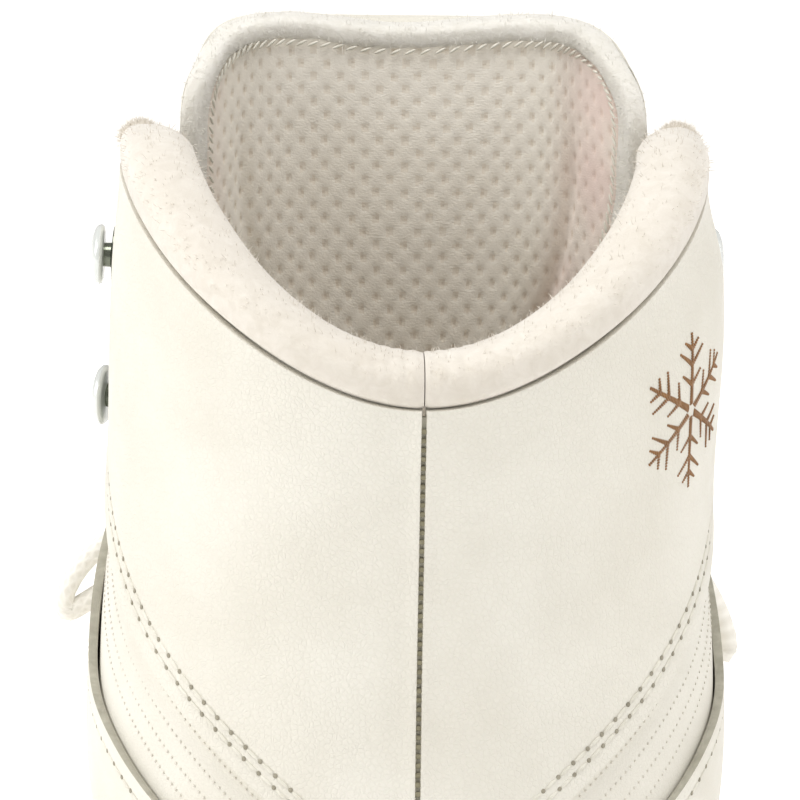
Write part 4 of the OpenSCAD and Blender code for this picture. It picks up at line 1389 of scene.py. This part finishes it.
HEAD = lathe([[0, 2.0], [3.9, 2.0], [4.5, 2.15], [4.8, 2.55], [4.72, 3.0], [4.3, 3.45], [3.4, 3.8],
              [2.2, 4.02], [1.1, 4.1], [0, 4.12]])
STEM = lathe([[0, 0], [4.5, 0], [4.75, 0.15], [4.75, 0.45], [4.5, 0.6], [2.4, 0.62], [1.95, 0.9],
              [1.9, 2.1], [0, 2.1]])
EYELET = lathe([[2.2, -2.7], [3.5, -2.7], [3.7, -2.5], [3.6, -2.3], [2.55, -2.3], [2.5, -2.1], [2.5, 1.8],
                [2.6, 1.92], [4.1, 1.92], [4.2, 2.05], [4.05, 2.3], [3.6, 2.45], [2.7, 2.45], [2.3, 2.3],
                [2.2, 1.9], [2.2, -2.7]])


for side, word in SIDES:
    u = (53 + 25 * np.arange(3)) / SECTION
    a = side * (front_edge(u) + 12)
    places = up_frames(a, u, 1.9)
    head = copies("hook_heads_" + word, HEAD, places, enamel)
    finish_piece(head, SKATE, "hook_metal", "hooks_" + word)
    # The base and neck are given a dark metal as painted shade under the white head.
    stem = copies("hook_stems_" + word, STEM, places, dark_metal)
    finish_piece(stem, SKATE, "hook_metal", "hooks_" + word)
    a = np.array([side * x for x, _ in EYELET_PLACES])
    u = np.array([x for _, x in EYELET_PLACES])
    rings = copies("eyelets_" + word, EYELET, up_frames(a, u, 0), nickel)
    finish_piece(rings, SKATE, "eyelet_metal", "eyelets_" + word)
    for piece in (head, stem, rings):
        smooth_under(piece, 40)
print("hooks and eyelets ready")

# %% [markdown]
# ## Laces
# The lace is a flat braid. It crosses between the eyelets from the toe up, and ends in a knot, a
# bow of two loops and two tails with plastic tips. Each length is an oval tube swept along its
# own path, with its flat side to the boot, so that it lies on the tongue as a real one does.

# %% Lace helpers
STEP = 0.0006
BUNDLE = 0.0021


def smooth_line(points, times=2):
    """Rounds a line's corners and keeps its ends."""
    points = np.asarray(points, float)
    for _ in range(times):
        cut = np.empty((2 * len(points) - 2, 3))
        cut[0::2] = points[:-1] * 0.75 + points[1:] * 0.25
        cut[1::2] = points[:-1] * 0.25 + points[1:] * 0.75
        points = np.concatenate([points[:1], cut, points[-1:]])
    return points


def even_line(points):
    """The same line with its points a step apart, and its length."""
    length = np.concatenate([[0], np.cumsum(np.linalg.norm(np.diff(points, axis=0), axis=1))])
    count = max(8, int(length[-1] / STEP))
    even = np.linspace(0, length[-1], count)
    return np.stack([np.interp(even, length, points[:, k]) for k in range(3)], 1), length[-1]


def strap(name, line, flat_to, wide, thick):
    """An oval braid along a line; flat_to(points) gives the way its flat side faces."""
    line, long = even_line(line)
    run = np.gradient(line, axis=0)
    run /= np.linalg.norm(run, axis=1, keepdims=True)
    face = flat_to(line)
    face = face - (face * run).sum(1, keepdims=True) * run
    face /= np.maximum(np.linalg.norm(face, axis=1, keepdims=True), 1e-9)
    across = np.cross(run, face)
    count = len(line) - 1

    def lay(p, t):
        k = np.clip(np.round(t * count).astype(int), 0, count)
        q = 2 * np.pi * p
        c, s = np.cos(q), np.sin(q)
        r = (np.abs(c) ** 2.4 + np.abs(s) ** 2.4) ** (-1 / 2.4)
        weave = 1 + 0.045 * np.sin(k * STEP * 2 * np.pi / BUNDLE + 2 * q) * np.cos(2 * q)
        return (line[k] + across[k] * (wide / 2000 * r * c * weave)[:, None]
                + face[k] * (thick / 2000 * r * s * weave)[:, None])
    obj = sheet_grid(name, 16, count, lay)
    uv_size(obj, (wide + thick) * 1.57 / 1000, long)
    close_ends(obj)
    obj.data.materials.append(braid)
    smooth_under(obj, 60)
    return obj, line, long


def boot_way(points):
    """Away from the boot's middle, for lace that lies on its front."""
    y = points[:, 1] * 1000
    z = points[:, 2] * 1000
    out = np.stack([points[:, 0] * 1000 * 0.9, np.clip(y + 62, 20, 90), np.clip(z - 95, 0, 60)], 1)
    return out / np.linalg.norm(out, axis=1, keepdims=True)


LACE_WIDE = 2.9
LACE_THICK = 1.9
KNOT = at(0, 4.25, 5.5)


def lace_half(first, over):
    """The path that starts on one side of the lowest row and changes sides at each crossing."""
    points = [at(first * 0.6, EYELETS[5], -5.3)]
    side = first
    for i in range(5, -1, -1):
        u = EYELETS[i]
        e = float(front_edge(u))
        hole = EYELET_PLACES[i][0]
        points += [at(side * (e + 1.5), u, -5.2), at(side * hole, u, -4.4), at(side * hole, u, -2),
                   at(side * hole, u, 2.6), at(side * (hole - 2.5), u - 0.04, 4.4)]
        if i:
            following = EYELETS[i - 1]
            points += [at(side * (e - 2), mix(u, following, 0.22), 3.2), at(0, mix(u, following, 0.5), over)]
        else:
            points += [at(side * (e - 3), u - 0.12, 4.6), KNOT + np.array([side * 6.4, -0.8, -2.9]) / 1000]
        side = -side
    return smooth_line(points)


for first, over, word in ((-1, -1.3, "left"), (1, -4.9, "right")):
    lace, line, long = strap("lace_" + word, lace_half(first, over), boot_way, LACE_WIDE, LACE_THICK)
    finish_piece(lace, SKATE, "lace_cotton", "lace_" + word)
    print(word, "lace row, metres:", round(long, 3))

# %% [markdown]
# The loops and tails hang free, so each is a cord that leaves the knot. A loop goes back into the
# knot, and a tail ends in a plastic tip.

# %% Bow
BOW_THICK = 3.6


def bow(side, reach, droop):
    """A loop that leaves the knot above, reaches out sideways, droops and comes back below."""
    turn = np.radians(np.linspace(0, 180, 73))
    out = np.abs(np.sin(turn)) ** 0.7
    lift = np.sign(np.cos(turn)) * np.abs(np.cos(turn)) ** 0.8
    return np.stack([KNOT[0] + side * (6.2 + reach * out) / 1000,
                     KNOT[1] - 7 * out * out / 1000,
                     KNOT[2] + (1.3 + (1.4 + 6.4 * out * out) * lift
                                 - droop * np.sin(turn) ** 4) / 1000], 1)


def flat_up(points):
    """The loops lie nearly flat: up and a little back."""
    return np.tile([0.0, -0.55, 1.0], (len(points), 1))


for side, word, reach, droop in ((-1, "left", 47.5, 10), (1, "right", 49, 17)):
    loop, line, long = strap("bow_" + word, bow(side, reach, droop), flat_up, LACE_WIDE, BOW_THICK)
    finish_piece(loop, SKATE, "lace_cotton", "bow_" + word)
    print(word, "loop, metres:", round(long, 4))

# %% Tails and knot
TIP = lathe([[0, 0], [1.2, 0], [1.4, 0.25], [1.4, 5.2], [1.3, 5.4], [1.3, 8.4], [1.4, 8.6], [1.4, 13.4],
             [1.15, 13.9], [0, 14]], 24)


def tail(side):
    t = np.linspace(0, 1, 10)
    line = at(side * mix(5, 33, t * t), mix(4.75, 13.4, t), mix(8, 1.9, ease((t - 0.7) / 0.25)))
    return smooth_line(np.concatenate([[KNOT + np.array([side * 2, 0.5, -4.6]) / 1000], line]), 3)


for side, word in SIDES:
    start = at(side * 33, 13.4, 1.7)
    end = at(side * 35.5, 14.2, 1.9)
    way = (end - start) / np.linalg.norm(end - start)
    place = frames((start + way * 0.0004)[None], way[None], np.array([[1.0, 0.0, 0.0]]))
    aglet = copies("aglet_" + word, TIP, place, plastic)
    finish_piece(aglet, SKATE, "aglet_metal", "aglets")
    smooth_under(aglet, 40)
    loose, line, long = strap("lace_end_" + word, tail(side), boot_way, LACE_WIDE, LACE_THICK)
    finish_piece(loose, SKATE, "lace_cotton", "lace_end_" + word)
    print(word, "tail, metres:", round(long, 4))


def knot():
    """A knot's two turns: the lace goes twice round a core, each turn on its own slant."""
    turn = np.radians(np.linspace(-200, 560, 120))
    x = np.linspace(-4.4, 4.4, 120) + 1.1 * np.sin(turn * 0.5)
    radius = 2.35 + 0.25 * np.cos(turn * 1.5)
    line = np.stack([KNOT[0] + x / 1000, KNOT[1] + radius * np.cos(turn) / 1000,
                     KNOT[2] + radius * np.sin(turn) / 1000], 1)

    def away(points):
        way = points - KNOT
        way[:, 0] = 0
        return way
    return strap("lace_knot", line, away, 4.2, 2.2)[0]


finish_piece(knot(), SKATE, "lace_cotton", "lace_knot")
print("knot ready")

# %% [markdown]
# ## Vamp
# The vamp covers the forefoot in one soft piece. It goes under the quarters at the throat and is
# turned under the foot all round, so its sides run on until they meet the sole.

# %% Vamp
def vamp():
    def lay(p, t):
        c = 2 * p - 1
        u = mix(throat_u(np.abs(c)) + 0.02, 18.97, np.sin(np.pi / 2 * t))
        crease = 0.22 * np.exp(-((u - 12.9) / 0.25) ** 2) + 0.18 * np.exp(-((u - 13.7) / 0.3) ** 2)
        relief = 0.14 * ripple(c * 142, u, 15, 2.5) - crease * np.exp(-(c / 0.5) ** 2)
        wrap = mix(142, 172, ease((t - 0.55) / 0.35))
        return at(c * wrap, u, relief - 0.05)
    obj = sheet_grid("vamp", 110, 120, lay)
    face_out(obj, last_normal(np.array(0.0), np.array(14.0)))
    thicken(obj, 0.95, [white_leather, cut_edge], 0.15)
    return finish_piece(obj, SKATE, "upper_leather", "vamp")


print("vamp faces:", len(vamp().data.polygons))
for side, word in SIDES:
    v = np.linspace(4.2, 9.7, 160)
    low = along(OVERLAY_LOW, v)
    high = along(OVERLAY_HIGH, v)
    reach = np.linalg.norm(at(low[:, 0], low[:, 1]) - at(high[:, 0], high[:, 1]), axis=-1) * 1000
    t = np.clip(1 - 2.6 / np.maximum(reach, 3), 0.3, 1)
    spot = mix(high, low, t[:, None])
    line = np.stack([side * spot[:, 0], spot[:, 1]], 1)
    count = seam_row("overlay_foot_stitch_" + word, line, 1.66, "overlay_leather")
    print(word, "stitches at the overlay's foot:", count)

# %% [markdown]
# ## Sole and heel
# The outsole is hard leather with a dressed edge, and the heel is a stack of hide slices that
# narrows downwards and curves in at the front. Both are lofted: one outline after another is laid
# at its own height. The screws' heads and the plates below them come from the CAD.

# %% Sole
def outsole():
    def lay(p, t):
        s = along(SOLE, (len(SOLE) - 1) * t)
        q = 2 * np.pi * p
        c, w = np.cos(q), np.sin(q)
        r = (np.abs(c) ** 7 + np.abs(w) ** 7) ** (-1 / 7)
        half = np.maximum(0.5, s[:, 1])
        y = s[:, 0]
        x = s[:, 2] + half * r * c * (1 - 0.012 * (r * w < -0.5))
        z = sole_z(y) - 2.45 + 2.55 * r * w
        return np.stack([x, y + SHIFT_Y, z], 1) / 1000
    obj = sheet_grid("outsole", 64, 200, lay)
    close_ends(obj)
    obj.data.materials.append(sole_edge)
    obj.data.materials.append(sole_leather)
    for face in obj.data.polygons:
        face.material_index = 1 if abs(face.normal.z) > 0.8 else 0
    smooth_under(obj, 40)
    return finish_piece(obj, SKATE, "sole_leather", "outsole")


HEEL_HALF = 32.3
HEEL_X = 0.8
HEEL_SIDE_Y = -24


def heel_ring(p, inset, back, front):
    """The D-shaped outline of the heel: round behind, hollowed in front."""
    k = p * 22
    q = np.radians(90 * np.clip(k - 8, -8, 8) / 8)
    x = (HEEL_HALF - inset) * np.sin(q) + HEEL_X
    y = mix(HEEL_SIDE_Y, back, np.cos(q))
    f = np.clip((k - 16) / 3, 0, 2)
    in_front = k > 16
    x = np.where(in_front, (HEEL_HALF - inset) * (1 - f) + HEEL_X, x)
    hollow = front - 3 * np.cos(np.radians(90 * (f - 1)))
    corner = ease(f / 0.12) * ease((2 - f) / 0.12)
    y = np.where(in_front, mix(HEEL_SIDE_Y, hollow, corner), y)
    return x, y


def heel():
    def lay(p, t):
        p = np.round(p, 6) % 1.0
        rise = 1 - t
        back = mix(-50, -54.8, rise)
        front = mix(6, 18, rise ** 2)
        inset = mix(4.2, 0.6, rise ** 0.8)
        x, y = heel_ring(p, inset, back, front)
        z = mix(46.1, sole_z(y) - 5.15, rise)
        return np.stack([x, y + SHIFT_Y, z], 1) / 1000
    obj = sheet_grid("heel", 220, 40, lay)
    close_ends(obj)
    obj.data.materials.append(heel_hide)
    smooth_under(obj, 35)
    return finish_piece(obj, SKATE, "heel_leather", "heel")


outsole()
print("sole ready, heel faces:", len(heel().data.polygons))

# %% [markdown]
# ## Embroidery
# A small snowflake is sewn on the outer side of the cuff in bronze thread. Satin stitch fills a
# line with short threads side by side, all across it, so the arms stand up a little.

# %% Snowflake
def snowflake(angle, section, radius):
    """Six arms of satin stitch about a place on the cuff, radius in mm."""
    stitches = []

    def sew(start, heading, long, wide):
        steps = int(long / 0.42)
        for k in range(steps + 1):
            far = k / max(steps, 1)
            x = start[0] + math.cos(heading) * long * far
            y = start[1] + math.sin(heading) * long * far
            stitches.append((x, y, heading + math.radians(72), wide * (1 - 0.55 * far)))
    for arm in range(6):
        heading = math.radians(60 * arm + 30)
        tip = (math.cos(heading), math.sin(heading))
        sew((tip[0] * 1.2, tip[1] * 1.2), heading, radius - 1.2, 1.25)
        for out, long in ((0.34, 3.4), (0.6, 4.3), (0.8, 2.4)):
            for turn in (-55, 55):
                start = (tip[0] * radius * out, tip[1] * radius * out)
                sew(start, heading + math.radians(turn), long * radius / 13, 0.95)
    degree = np.linalg.norm(at(angle + 0.5, section) - at(angle - 0.5, section)) * 1000
    section_mm = np.linalg.norm(at(angle, section + 0.05) - at(angle, section - 0.05)) * 10000
    places = []
    step = 0.2
    for x, y, heading, wide in stitches:
        a = np.array(angle + x / degree)
        u = np.array(section - y / section_mm)
        b = angle + (x + step * math.cos(heading)) / degree
        w = section - (y + step * math.sin(heading)) / section_mm
        rise = 1.68 + float(fulness(a, u))
        here = at(a, u, rise)
        place = frames(here[None], last_normal(a, u)[None], (at(b, w, rise) - here)[None])[0]
        place[:3, 0] *= wide
        places.append(place)
    obj = copies("snowflake", bean(1.15, 0.44, 0.42, 6, 4), places, thread_bronze)
    finish_piece(obj, SKATE, "cuff_leather")
    return len(places)


print("satin stitches:", snowflake(122.0, 2.3, 12.5))

# %% [markdown]
# ## Pieces kept from the CAD
# The blade, its plates and screws, the boards under the foot and the foam inside are simple
# enough to keep as they are. Each only gets its own finish.

# %% Finishes of the kept pieces
KEPT = {
    "blade_runner": chrome, "toe_stanchion": chrome, "heel_stanchion": chrome, "toe_plate": chrome,
    "heel_plate": chrome, "toe_screws": brass, "heel_screws": brass, "heel_lift": rubber,
    "shank": spring_steel, "insole_board": board, "footbed": footbed_cloth, "toe_puff": board,
    "heel_counter": board, "ankle_foam_left": foam, "ankle_foam_right": foam,
    # The back seam's strip takes the grey edge colour as painted shade between the two halves.
    "back_seam": cut_edge}
for name, finish in KEPT.items():
    obj = bpy.data.objects[name]
    obj.data.materials.clear()
    obj.data.materials.append(finish)
print("kept from the CAD:", len(KEPT))

# %% [markdown]
# ## Pink in the lining
# The mesh is faintly pink in the upper corners and along the folds, where the wings turn in. The
# tint is worked out from the cloth's own UVs, so that it stays with the cloth when it moves.

# %% Pink tint
LINING_WIDE = 0.071


def add_pink(material, wide):
    """Mixes a pale pink in towards the two long edges of the cloth."""
    t = material.node_tree
    shader = t.nodes["Principled BSDF"]
    look = [n for n in t.nodes if n.type == "GROUP"][0]
    place = [n for n in t.nodes if n.type == "TEX_COORD"][0]
    parts = add(t, "ShaderNodeSeparateXYZ", {"Vector": place.outputs["UV"]})
    off = math_node(t, "ABSOLUTE", math_node(t, "SUBTRACT", parts.outputs["X"], wide / 2))
    edge = remap(t, off, wide * 0.25, wide * 0.40, 0.0, 0.8)
    cloud = remap(t, noise(t, place.outputs["UV"], 60.0), 0.35, 0.65, 0.35, 1.0)
    tint = blend_colour(t, times(t, edge, cloud), look.outputs["Color"], (0.86, 0.66, 0.62, 1))
    t.links.new(tint, shader.inputs["Base Color"])


for cloth in (tongue_mesh, mesh_pit_edge, mesh_pit):
    add_pink(cloth, LINING_WIDE)
print("pink added")
